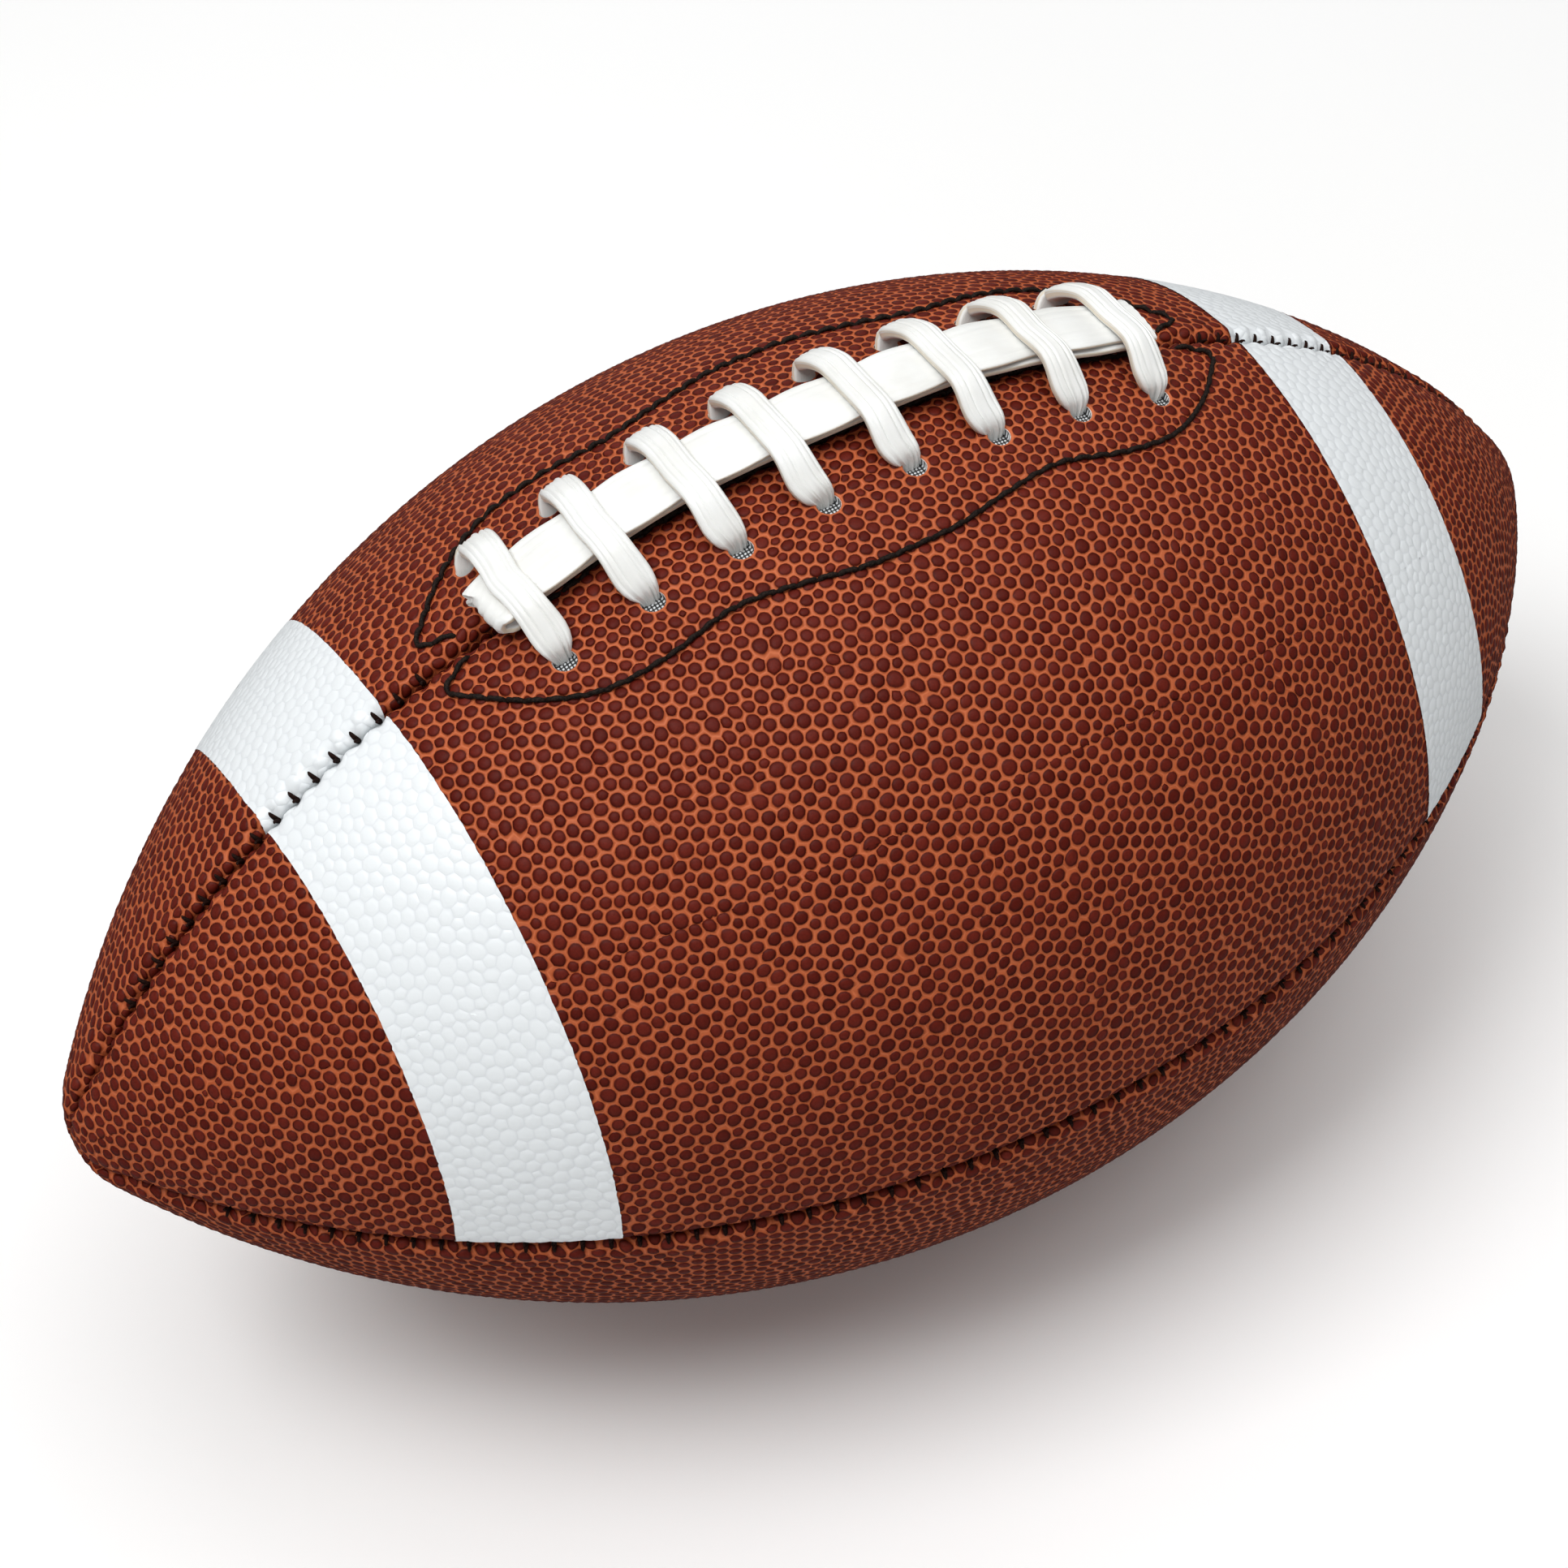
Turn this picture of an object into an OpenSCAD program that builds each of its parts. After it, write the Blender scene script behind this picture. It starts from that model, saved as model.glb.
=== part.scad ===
// American football: four sewn cover panels and their linings round a bladder, closed by one lace.
// The long axis runs along X, the lacing faces up (+Z), front is -Y, and the ball lies on Z = 0.

/* [Ball] */
// Length from nose to nose
ball_length = 288; // [270:1:300]
// Diameter at the middle
ball_diameter = 162; // [154:1:172]
// Radius of each blunt nose
nose_radius = 17; // [14:0.5:20]

/* [Cover] */
// Thickness of a cover panel
cover_thickness = 2.4; // [2:0.1:2.8]
// Thickness of the cloth lining bonded inside each panel
lining_thickness = 0.6; // [0.4:0.1:0.8]
// Depth of the turned-in seam edge, below the cover
seam_allowance = 3.2; // [2.8:0.1:4]
// Radius of the rolled panel edge beside a seam
edge_radius = 4; // [3:0.1:4.4]
// How far the turned-in edges stop short of each nose
seam_end_gap = 22; // [18:1:30]
// Width of the pit where the points of the four panels meet
nose_pit = 1.8; // [1.2:0.1:2.6]
// Clearance between stacked soft pieces
fit = 0.2; // [0.1:0.05:0.3]

/* [Stripes] */
// Distance of each stripe from the middle of the ball
stripe_start = 75.5; // [72:0.5:90]
// Width of each stripe along the ball
stripe_width = 22.2; // [15:0.1:26]
// Thickness of the pressed-on stripe film
stripe_thickness = 0.25; // [0.15:0.05:0.4]

/* [Lacing] */
// Half the length of the slit that the lace closes
slit_half_length = 64; // [60:0.5:66]
// Width of the slit
slit_gap = 2.8; // [2.4:0.1:3.6]
// Number of cross laces, and of hole pairs
lace_count = 8; // [6:1:8]
// Distance of the first and last front holes from the slit's ends
lacing_end_gap = 11.8; // [11:0.1:14]
// Distance of the lace holes from the slit, along the surface
hole_offset = 13.3; // [12.5:0.1:15]
// How far each back hole sits to the left of its front one
lace_slant = 3.8; // [0:0.2:5]
// Diameter of a lace hole
hole_diameter = 4.2; // [4:0.1:6]
// Width of the lace where it lies flat, along the slit
lace_width = 11; // [9:0.1:12]
// Width of the lace where it is gathered to cross the slit
gathered_width = 6.2; // [5.4:0.1:6.8]
// Thickness of the flat lace
lace_thickness = 1.3; // [1:0.1:1.5]

/* [Lace patch] */
// How far the reinforcing patch's stitched outline reaches beyond each end of the slit
outline_end_gap = 4; // [3:0.5:10]
// Half the width of that outline, along the surface
outline_half_width = 26; // [22:0.5:32]
// Patch material beyond the stitched outline
patch_margin = 2.5; // [1.5:0.1:4]
// Thickness of the reinforcing patch
patch_thickness = 0.8; // [0.5:0.1:1]

/* [Tongue and bladder] */
// Width of the tongue that guards the bladder under the lacing
tongue_width = 30; // [24:1:44]
// Thickness of the tongue
tongue_thickness = 0.7; // [0.5:0.1:1.2]
// Wall of the bladder
bladder_wall = 0.9; // [0.6:0.1:1.5]

/* [Valve] */
// Bore that takes an inflation needle
needle_bore = 2.4; // [2:0.1:2.8]
// Diameter of the valve's stem
stem_diameter = 6.4; // [5.6:0.1:8]
// Diameter of the valve's flange, bonded to the bladder
flange_diameter = 24; // [18:1:30]
// How far the top of the stem sits below the cover's surface
stem_recess = 0.6; // [0.4:0.1:1.2]
// Length of the needle bore
needle_bore_length = 11.4; // [9:0.1:14]
// Diameter of the self-sealing plug
plug_diameter = 4; // [3.4:0.1:4.8]
// Length of the plug
plug_length = 4; // [3:0.1:6]
// Diameter of the cloth patch round the valve
valve_patch_diameter = 34; // [26:1:44]

/* [Threads] */
// Diameter of the seam thread
seam_thread = 0.8; // [0.6:0.05:1]
// Length of a stitch
stitch_pitch = 4.4; // [4:0.1:6]
// Diameter of the thread round the lace patch
outline_thread = 1.1; // [0.7:0.05:1.3]
// Distance of the slit's edge stitching from the slit
slit_stitch_offset = 4.4; // [3.8:0.1:5.2]

/* [Hidden] */
$fn = 96;
overrun = 2;
lace_sides = 8;
thread_sides = 5;
seam_sides = 4;

// Two arcs make the ball's profile: one along each side, and a small one round each nose.
// They cross at this small angle, so that the nose stands a trace proud where it takes over.
nose_brink_angle = 5;
ball_radius = ball_diameter / 2;
half_length = ball_length / 2;
nose_x = half_length - nose_radius;
side_radius = (nose_x * nose_x + ball_radius * ball_radius - nose_radius * nose_radius)
    / (2 * (ball_radius - nose_radius * cos(nose_brink_angle)));
side_drop = side_radius - ball_radius;
blend_angle = atan(nose_x / side_drop);
blend_x = side_radius * sin(blend_angle);

// Depths of the layers below the cover's outer surface, with a glue line or a clearance between them
lining_depth = cover_thickness + fit;
patch_depth = lining_depth + lining_thickness + fit;
patch_end_depth = patch_depth + patch_thickness;
inner_lace_depth = patch_end_depth + fit + lace_thickness / 2;
seam_depth = cover_thickness + seam_allowance;
tongue_depth = max(seam_depth, inner_lace_depth + lace_thickness / 2) + fit;
bladder_depth = tongue_depth + tongue_thickness + fit;
thread_depth = cover_thickness + seam_allowance / 2;

// The rolled edge: its arc stands a little proud, so that the groove has a definite brink.
roll_centre_share = 0.9;
roll_centre = roll_centre_share * edge_radius;
groove_half_width = roll_centre - sqrt(edge_radius * edge_radius - roll_centre * roll_centre);

// The turned-in edges and the seam threads that run through them
seam_end_x = half_length - seam_end_gap;
thread_end_x = seam_end_x - stitch_pitch;
channel_radius = seam_thread + fit / 2;
thread_wave = channel_radius - seam_thread / 2 - fit / 2;
thread_radius = side_radius - thread_depth;
thread_end_angle = asin(thread_end_x / thread_radius);
outline_half_length = slit_half_length + outline_end_gap;
lace_pitch = 2 * (slit_half_length - lacing_end_gap) / (lace_count - 1);
slit_end_angle = asin((slit_half_length + stitch_pitch) / thread_radius);

// Quarter turns of the four panels about the long axis, counted from the lower back one
LOWER_BACK = 0;
UPPER_BACK = 90;
UPPER_FRONT = 180;
LOWER_FRONT = 270;
valve_turn = 225;

// A stitch's thread lies on the cover at its needle holes and rises a little between them.
stitch_rise_share = 0.25;
stitch_low = (outline_thread + fit) / 2;
stitch_high = stitch_low + stitch_rise_share * outline_thread;

// Heights of the lace's centre line over the cover: the long run lies on the slit's stitching,
// and the cross laces arch over both of its layers. Gathered, the lace keeps most of its section.
low_run_height = stitch_high + outline_thread / 2 + fit + lace_thickness / 2;
high_run_height = low_run_height + lace_thickness + fit;
gathered_share = 0.87;
gathered_thickness = gathered_share * lace_width * lace_thickness / gathered_width;
arch_share = 1.03;
arch_height = arch_share * (high_run_height + (lace_thickness + gathered_thickness) / 2 + fit);

// One side of a cross lace, from the crown of its arch to its hole:
// distance from the slit, height over the cover, and gathered width and thickness, as shares
over_shares = [[0, 1, 0.92, 1], [0.22, 1, 0.92, 1], [0.42, 0.97, 0.94, 1], [0.58, 0.82, 1, 1],
    [0.72, 0.62, 1.03, 1], [0.84, 0.42, 0.96, 1], [0.93, 0.26, 0.76, 1.05], [0.98, 0.12, 0.58, 1.05]];
// The same side inside its hole and under the patch, with the depth as a share of the inner depth
under_shares = [[1, 0.14, 0.52, 1], [1, 0.6, 0.52, 1], [0.97, 0.89, 0.77, 0.78], [0.86, 1, 1.06, 0.65]];
// Places across the ball of the rings of a slanting inner run
inner_run_shares = [-0.45, 0, 0.45];
inner_width_share = 0.6;
inner_end_share = 0.5;

// Half of the stitched outline round the lacing: distance along the ball and across it, as shares
outline_shares = [[0, 1], [0.12, 0.985], [0.25, 0.91], [0.41, 0.83], [0.58, 0.87], [0.73, 0.82],
    [0.86, 0.62], [0.96, 0.36], [1, 0.2]];
outline_return_share = 0.93;

// Radius of the cover at a distance x from the middle
function surface_radius(x) = abs(x) < blend_x
    ? sqrt(side_radius * side_radius - x * x) - side_drop
    : sqrt(nose_radius * nose_radius - pow(abs(x) - nose_x, 2));

// A point at x, at an arc distance across from the top seam (front is positive), raised over the cover
function on_cover(x, across, height) =
    let (r = surface_radius(x), turn = across / r * 180 / PI, lean = asin(x / side_radius),
        out = r + height * cos(lean))
    [x + height * sin(lean), -out * sin(turn), out * cos(turn) + ball_radius];

// The way that the cover's surface runs along the ball, at a distance x from the middle
function along_cover(x) = let (lean = asin(x / side_radius)) [cos(lean), 0, -sin(lean)];

function unit(v) = v / norm(v);
function mix(a, b, share) = a + (b - a) * share;
function direction(path, i) = unit(path[min(i + 1, len(path) - 1)] - path[max(i - 1, 0)]);
function rounded(c) = sign(c) * sqrt(abs(c));

// One closed ring of a swept piece, square to its run, with its width along "across"
function ring(centre, along, across, width, height, sides) =
    let (side = unit(across - (across * along) * along), up = cross(along, side))
    [for (j = [0 : sides - 1]) let (a = (j + 0.5) * 360 / sides)
        centre + side * rounded(cos(a)) * width / 2 + up * rounded(sin(a)) * height / 2];

function thread_ring(centre, along, across, diameter, sides) =
    let (side = unit(across - (across * along) * along), up = cross(along, side))
    [for (j = [0 : sides - 1]) let (a = j * 360 / sides)
        centre + (side * cos(a) + up * sin(a)) * diameter / 2];

// A closed solid through a list of rings
module swept(rings) {
    sides = len(rings[0]);
    last = len(rings) - 1;
    walls = [for (i = [0 : last - 1], j = [0 : sides - 1])
        let (a = i * sides + j, b = i * sides + (j + 1) % sides)
        each [[a, a + sides, b], [b, a + sides, b + sides]]];
    start_cap = [for (j = [1 : sides - 2]) [0, j, j + 1]];
    end_cap = [for (j = [1 : sides - 2]) [last * sides, last * sides + j + 1, last * sides + j]];
    polyhedron(points = [for (r = rings) each r], faces = concat(walls, start_cap, end_cap));
}

module lay_on_ground() {
    translate([0, 0, ball_radius]) children();
}

// Half of the side's profile, sunk by a depth: X is the radius and Y runs along the ball.
module side_profile(depth) {
    intersection() {
        translate([-side_drop, 0]) circle(side_radius - depth);
        translate([0, -blend_x]) square([ball_diameter, 2 * blend_x]);
    }
}

module nose_profile(depth) {
    intersection() {
        circle(nose_radius - depth);
        translate([0, -nose_radius - overrun]) square(2 * (nose_radius + overrun));
    }
}

// The solid inside a layer, through this much of a turn about the long axis
module core(angle, depth) {
    rotate([0, 90, 0]) {
        rotate_extrude(angle = angle) side_profile(depth);
        for (end = [-1, 1]) {
            translate([0, 0, end * nose_x]) rotate_extrude(angle = angle) nose_profile(depth);
        }
    }
}

// A layer of the ball between two depths
module layer(turn, angle, outer_depth, inner_depth) {
    difference() {
        rotate([turn, 0, 0]) core(angle, outer_depth);
        core(360, inner_depth);
    }
}

// A slab that lies against both seam planes of a quarter, this thick
module seam_slabs(turn, thickness) {
    rotate([turn, 0, 0]) {
        translate([-ball_length, -overrun, -ball_diameter])
            cube([2 * ball_length, thickness + overrun, ball_diameter + overrun]);
        translate([-ball_length, -overrun, -thickness])
            cube([2 * ball_length, ball_diameter + overrun, thickness + overrun]);
    }
}

// Sweep a flat shape along a seam, this far from the middle: its X is the distance from the centre
// of the side's arc, and its Y goes across the seam.
module along_seam(turn, end_angle) {
    rotate([turn, 0, 0]) translate([0, 0, -side_drop]) rotate([90, 0, 0])
        rotate([0, 0, 90 - end_angle]) rotate_extrude(angle = 2 * end_angle) children();
}

// The hollow between two rolled edges fades out on the nose, where the side's arc runs off it.
module seam_groove(turn) {
    along_seam(turn, acos(side_drop / side_radius)) translate([side_radius, 0]) difference() {
        translate([-roll_centre, -roll_centre]) square([roll_centre + overrun, 2 * roll_centre]);
        for (side = [-1, 1]) {
            translate([-roll_centre, side * roll_centre]) circle(edge_radius);
        }
    }
}

// Half-round channels in the turned-in edges hold the seam thread.
module thread_channel(turn) {
    along_seam(turn, asin(seam_end_x / thread_radius)) translate([thread_radius, 0])
        circle(channel_radius);
}

// The turned-in edge of a panel, drawn flat in its seam plane; an upper panel has none at the slit.
module turned_edge(has_slit) {
    linear_extrude(cover_thickness) intersection() {
        difference() {
            side_profile(cover_thickness / 2);
            side_profile(seam_depth);
        }
        for (end = [-1, 1]) {
            inner = has_slit ? slit_half_length : 0;
            mirror([0, end < 0 ? 1 : 0]) translate([0, inner]) square([ball_diameter, seam_end_x - inner]);
        }
    }
}

// Place children at a lace hole, with Z pointing out of the cover
module at_hole(i, side) {
    x = hole_x(i, side);
    turn = side * hole_offset / surface_radius(x) * 180 / PI;
    rotate([turn, 0, 0]) translate([x, 0, surface_radius(x)]) rotate([0, asin(x / side_radius), 0])
        children();
}

module lace_holes(side) {
    depth = patch_end_depth + overrun;
    for (i = [0 : lace_count - 1]) {
        at_hole(i, side) translate([0, 0, -depth]) cylinder(h = depth + overrun, d = hole_diameter);
    }
}

// The slit between the two upper panels
module slit() {
    translate([-slit_half_length, -slit_gap / 2, 0])
        cube([2 * slit_half_length, slit_gap, ball_diameter]);
}

module valve_frame() {
    rotate([valve_turn, 0, 0]) children();
}

module valve_opening() {
    valve_frame() translate([0, 0, ball_radius - bladder_depth - overrun])
        cylinder(h = bladder_depth + 2 * overrun, d = stem_diameter + 2 * fit);
}

// Where the front holes (side 1) and the back holes (side -1) lie along the ball
function hole_x(i, side) = (i - (lace_count - 1) / 2) * lace_pitch - (side < 0 ? lace_slant : 0);

// Where a cross lace runs along the ball, at a distance across from the slit
function cross_x(i, across) = mix(hole_x(i, 1), hole_x(i, -1), (1 - across / hole_offset) / 2);

module cover_panel(turn, is_upper) {
    lay_on_ground() difference() {
        union() {
            layer(turn, 90, 0, cover_thickness);
            rotate([turn, 0, 0]) rotate([0, 90, 0]) {
                translate([0, cover_thickness, 0]) rotate([90, 0, 0])
                    turned_edge(turn == UPPER_FRONT);
                rotate([0, 0, 90]) rotate([90, 0, 0]) turned_edge(turn == UPPER_BACK);
            }
        }
        for (seam = [turn + 180, turn - 90]) {
            seam_groove(seam);
            thread_channel(seam);
        }
        rotate([0, 90, 0]) cylinder(h = 2 * ball_length, d = nose_pit, center = true);
        if (is_upper) {
            slit();
            lace_holes(turn == UPPER_FRONT ? 1 : -1);
        }
        if (turn == LOWER_BACK) valve_opening();
    }
}

module lining(turn, is_upper) {
    color("tan") lay_on_ground() difference() {
        layer(turn, 90, lining_depth, lining_depth + lining_thickness);
        seam_slabs(turn, cover_thickness + fit);
        if (is_upper) lace_holes(turn == UPPER_FRONT ? 1 : -1);
        if (turn == LOWER_BACK) valve_opening();
    }
}

// Smooth points of the stitched outline, for x from one end to the other; grow widens it all round.
function outline_knots(grow) =
    let (l = outline_half_length + grow, w = outline_half_width + grow, n = len(outline_shares) - 1)
    concat([for (i = [n : -1 : 1]) [-l * outline_shares[i][0], w * outline_shares[i][1]]],
        [for (i = [0 : n]) [l * outline_shares[i][0], w * outline_shares[i][1]]]);

function smooth_point(k, i, t) =
    let (a = k[max(i - 1, 0)], b = k[i], c = k[i + 1], d = k[min(i + 2, len(k) - 1)])
    (2 * b + (c - a) * t + (2 * a - 5 * b + 4 * c - d) * t * t + (3 * b - a - 3 * c + d) * t * t * t) / 2;

function smooth_line(k, pitch) =
    concat([for (i = [0 : len(k) - 2]) let (n = max(1, round(norm(k[i + 1] - k[i]) / pitch)))
        for (j = [0 : n - 1]) smooth_point(k, i, j / n)], [k[len(k) - 1]]);

module lace_patch(turn, side) {
    outer = smooth_line(outline_knots(patch_margin), stitch_pitch);
    color("lightgray") lay_on_ground() difference() {
        intersection() {
            layer(turn, 90, patch_depth, patch_end_depth);
            linear_extrude(ball_diameter) polygon(concat([[-outline_half_length, 0]],
                [for (p = outer) [p[0], -side * surface_radius(p[0])
                    * sin(p[1] / surface_radius(p[0]) * 180 / PI)]], [[outline_half_length, 0]]));
        }
        seam_slabs(turn, cover_thickness + fit);
        lace_holes(side);
    }
}

module tongue() {
    length = 2 * slit_half_length + 2 * patch_margin;
    color("dimgray") lay_on_ground() intersection() {
        layer(UPPER_BACK, 180, tongue_depth, tongue_depth + tongue_thickness);
        translate([-length / 2, -tongue_width / 2, 0]) cube([length, tongue_width, ball_diameter]);
    }
}

// Stations of the lace: x, across, height, width, thickness and how far its width has turned from X to Y
function over_run(i) = concat(
    [for (k = [len(over_shares) - 1 : -1 : 0]) over_station(i, k, 1)],
    [for (k = [1 : len(over_shares) - 1]) over_station(i, k, -1)]);

function over_station(i, k, side) = let (s = over_shares[k], across = side * s[0] * hole_offset)
    [cross_x(i, across), across, s[1] * arch_height, s[2] * gathered_width, s[3] * gathered_thickness, 0];

function under_station(i, k, side) = let (s = under_shares[k], across = side * s[0] * hole_offset)
    [cross_x(i, across), across, -s[1] * inner_lace_depth, s[2] * gathered_width,
        s[3] * gathered_thickness, 0];

// Up through the front hole, over the slit and down through the back hole
function cross_lace(i) = let (n = len(under_shares) - 1) concat(
    [for (k = [n : -1 : 0]) under_station(i, k, 1)],
    over_run(i),
    [for (k = [0 : n]) under_station(i, k, -1)]);

// Inside the ball, from a back hole to the next front hole
function inner_run(i) = [for (s = inner_run_shares)
    [mix(hole_x(i, -1), hole_x(i + 1, 1), (s + 1) / 2), s * hole_offset, -inner_lace_depth,
        inner_width_share * lace_width, lace_thickness, 0]];

// Out through the end of the slit, along it under the cross laces, round a fold, and back on top
long_run_end = hole_x(lace_count - 1, 1) + gathered_width / 2 + lace_thickness;
long_run_steps = 12;
fold_radius = (high_run_height - low_run_height) / 2;
fold_angles = [-54 : 36 : 54];
// The lace is gathered where it comes up through the slit: width as a share of the lace's
rise_width_share = 0.28;
rise_thickness = slit_gap - 4 * fit;
// Stations of that rise: distance beyond the long run's end in lace thicknesses,
// depth as a share of the inner depth, and how far the lace's width has turned across the ball
rise_shares = [[1, 0.7, 0], [1, 0.2, 0.1], [0.5, -0.25, 0.5]];
spread_share = 1.6;
spread_turn = 0.9;

function long_station(x, height) = [x, 0, height, lace_width, lace_thickness, 1];

function slit_rise() = let (x = long_run_end + lace_thickness, width = rise_width_share * lace_width)
    concat(
        [[hole_x(lace_count - 1, -1) + lace_thickness, -inner_end_share * hole_offset, -inner_lace_depth,
            inner_width_share * lace_width, lace_thickness, 0],
            [x, -lace_thickness, -inner_lace_depth, width, rise_thickness, 0]],
        [for (s = rise_shares)
            [x + s[0] * lace_thickness, 0, -s[1] * inner_lace_depth, width, rise_thickness, s[2]]],
        [[x - lace_thickness, 0, low_run_height + fit, spread_share * width, lace_thickness, spread_turn]]);

function long_run() = let (left = -long_run_end, right = long_run_end - lace_thickness) concat(
    slit_rise(),
    [for (k = [0 : long_run_steps])
        long_station(mix(right - lace_thickness, left, k / long_run_steps), low_run_height)],
    [for (a = fold_angles)
        long_station(left - fold_radius * cos(a), low_run_height + fold_radius * (1 + sin(a)))],
    [for (k = [0 : long_run_steps]) long_station(mix(left, right, k / long_run_steps), high_run_height)]);

function lace_stations() = concat(
    [[hole_x(0, 1), inner_end_share * hole_offset, -inner_lace_depth, inner_width_share * lace_width,
        lace_thickness, 0]],
    [for (i = [0 : lace_count - 1]) each concat(cross_lace(i), i < lace_count - 1 ? inner_run(i) : [])],
    long_run());

module lace() {
    stations = lace_stations();
    path = [for (s = stations) on_cover(s[0], s[1], s[2])];
    color("white") swept([for (i = [0 : len(stations) - 1]) let (s = stations[i])
        ring(path[i], direction(path, i), mix(along_cover(s[0]), [0, 1, 0], s[5]), s[3], s[4],
            lace_sides)]);
}

// The thread waves from side to side through its channel, one wave a stitch.
module seam_thread(turn, start_angle, end_angle) {
    steps = round((end_angle - start_angle) * PI / 180 * thread_radius / (stitch_pitch / 2));
    path = [for (i = [0 : steps]) let (a = mix(start_angle, end_angle, i / steps))
        [thread_radius * sin(a), (i % 2 == 0 ? 1 : -1) * thread_wave, thread_radius * cos(a) - side_drop]];
    color("saddlebrown") lay_on_ground() rotate([turn, 0, 0])
        swept([for (i = [0 : steps]) thread_ring(path[i], direction(path, i), [0, 1, 0],
            seam_thread, seam_sides)]);
}

// A sewn line that lies on the cover: each stitch rises between its two needle holes.
module surface_stitches(line, side) {
    middles = [for (i = [0 : len(line) - 2]) (line[i] + line[i + 1]) / 2];
    stations = [for (i = [0 : len(line) - 1]) each concat([[line[i], stitch_low]],
        i < len(line) - 1 ? [[middles[i], stitch_high]] : [])];
    path = [for (s = stations) on_cover(s[0][0], side * s[0][1], s[1])];
    color("black") swept([for (i = [0 : len(path) - 1]) thread_ring(path[i], direction(path, i),
        [0, 0, 1], outline_thread, thread_sides)]);
}

module outline_stitch(side) {
    knots = outline_knots(0);
    ends = [for (end = [-1, 1])
        [end * outline_return_share * outline_half_length, groove_half_width + outline_thread]];
    surface_stitches(smooth_line(concat([ends[0]], knots, [ends[1]]), stitch_pitch), side);
}

module slit_stitch(side) {
    reach = long_run_end;
    count = round(2 * reach / stitch_pitch);
    surface_stitches([for (i = [0 : count]) [mix(-reach, reach, i / count), slit_stitch_offset]], side);
}

module stripe(turn, end) {
    color("white") lay_on_ground() difference() {
        intersection() {
            layer(turn, 90, -fit - stripe_thickness, -fit);
            mirror([end < 0 ? 1 : 0, 0, 0]) translate([stripe_start, -ball_diameter, -ball_diameter])
                cube([stripe_width, 2 * ball_diameter, 2 * ball_diameter]);
        }
        seam_slabs(turn, groove_half_width + fit);
    }
}

module bladder() {
    color("black") lay_on_ground() difference() {
        for (turn = [LOWER_BACK, UPPER_FRONT]) {
            layer(turn, 180, bladder_depth, bladder_depth + bladder_wall);
        }
        valve_frame() cylinder(h = ball_radius, d = stem_diameter + fit);
    }
}

module valve_body() {
    top = ball_radius - stem_recess;
    bottom = top - needle_bore_length - plug_length;
    color("dimgray") lay_on_ground() difference() {
        union() {
            valve_frame() translate([0, 0, bottom]) cylinder(h = top - bottom, d = stem_diameter);
            intersection() {
                layer(LOWER_BACK, 90, patch_end_depth + fit, bladder_depth - fit);
                valve_frame() cylinder(h = ball_radius, d = flange_diameter);
            }
        }
        valve_frame() translate([0, 0, bottom - overrun])
            cylinder(h = top - bottom + 2 * overrun, d = needle_bore);
        valve_frame() translate([0, 0, bottom - overrun])
            cylinder(h = plug_length + overrun, d = plug_diameter);
    }
}

module valve_plug() {
    bottom = ball_radius - stem_recess - needle_bore_length - plug_length;
    color("darkred") lay_on_ground() valve_frame() translate([0, 0, bottom])
        cylinder(h = plug_length - fit, d = plug_diameter - fit);
}

module valve_patch() {
    color("gray") lay_on_ground() difference() {
        intersection() {
            layer(LOWER_BACK, 90, patch_depth, patch_end_depth);
            valve_frame() cylinder(h = ball_radius, d = valve_patch_diameter);
        }
        valve_opening();
    }
}

module cover_panel_upper_front() { color("sienna") cover_panel(UPPER_FRONT, true); }
module cover_panel_upper_back() { color("sienna") cover_panel(UPPER_BACK, true); }
module cover_panel_lower_front() { color("sienna") cover_panel(LOWER_FRONT, false); }
module cover_panel_lower_back() { color("sienna") cover_panel(LOWER_BACK, false); }

cover_panel_upper_front();
cover_panel_upper_back();
cover_panel_lower_front();
cover_panel_lower_back();
lining(UPPER_FRONT, true);  // lining_upper_front
lining(UPPER_BACK, true);  // lining_upper_back
lining(LOWER_FRONT, false);  // lining_lower_front
lining(LOWER_BACK, false);  // lining_lower_back
lace_patch(UPPER_FRONT, 1);  // lace_patch_front
lace_patch(UPPER_BACK, -1);  // lace_patch_back
tongue();
lace();
seam_thread(0, -thread_end_angle, -slit_end_angle);  // seam_thread_top_left
seam_thread(0, slit_end_angle, thread_end_angle);  // seam_thread_top_right
seam_thread(90, -thread_end_angle, thread_end_angle);  // seam_thread_front
seam_thread(-90, -thread_end_angle, thread_end_angle);  // seam_thread_back
seam_thread(180, -thread_end_angle, thread_end_angle);  // seam_thread_bottom
outline_stitch(1);  // outline_stitch_front
outline_stitch(-1);  // outline_stitch_back
slit_stitch(1);  // slit_stitch_front
slit_stitch(-1);  // slit_stitch_back
stripe(UPPER_FRONT, -1);  // stripe_left_front
stripe(UPPER_BACK, -1);  // stripe_left_back
stripe(UPPER_FRONT, 1);  // stripe_right_front
stripe(UPPER_BACK, 1);  // stripe_right_back
bladder();
valve_body();
valve_plug();
valve_patch();
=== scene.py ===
"""The looks of an american football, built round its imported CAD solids.

Lengths are in millimetres until a mesh is made, and the frame is the CAD's: the ball's long axis runs
along X, the lacing faces up, the front is -Y, and the ball lies on Z = 0.
"""

import math

import bpy
import numpy as np
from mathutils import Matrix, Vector, geometry, kdtree


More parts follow.
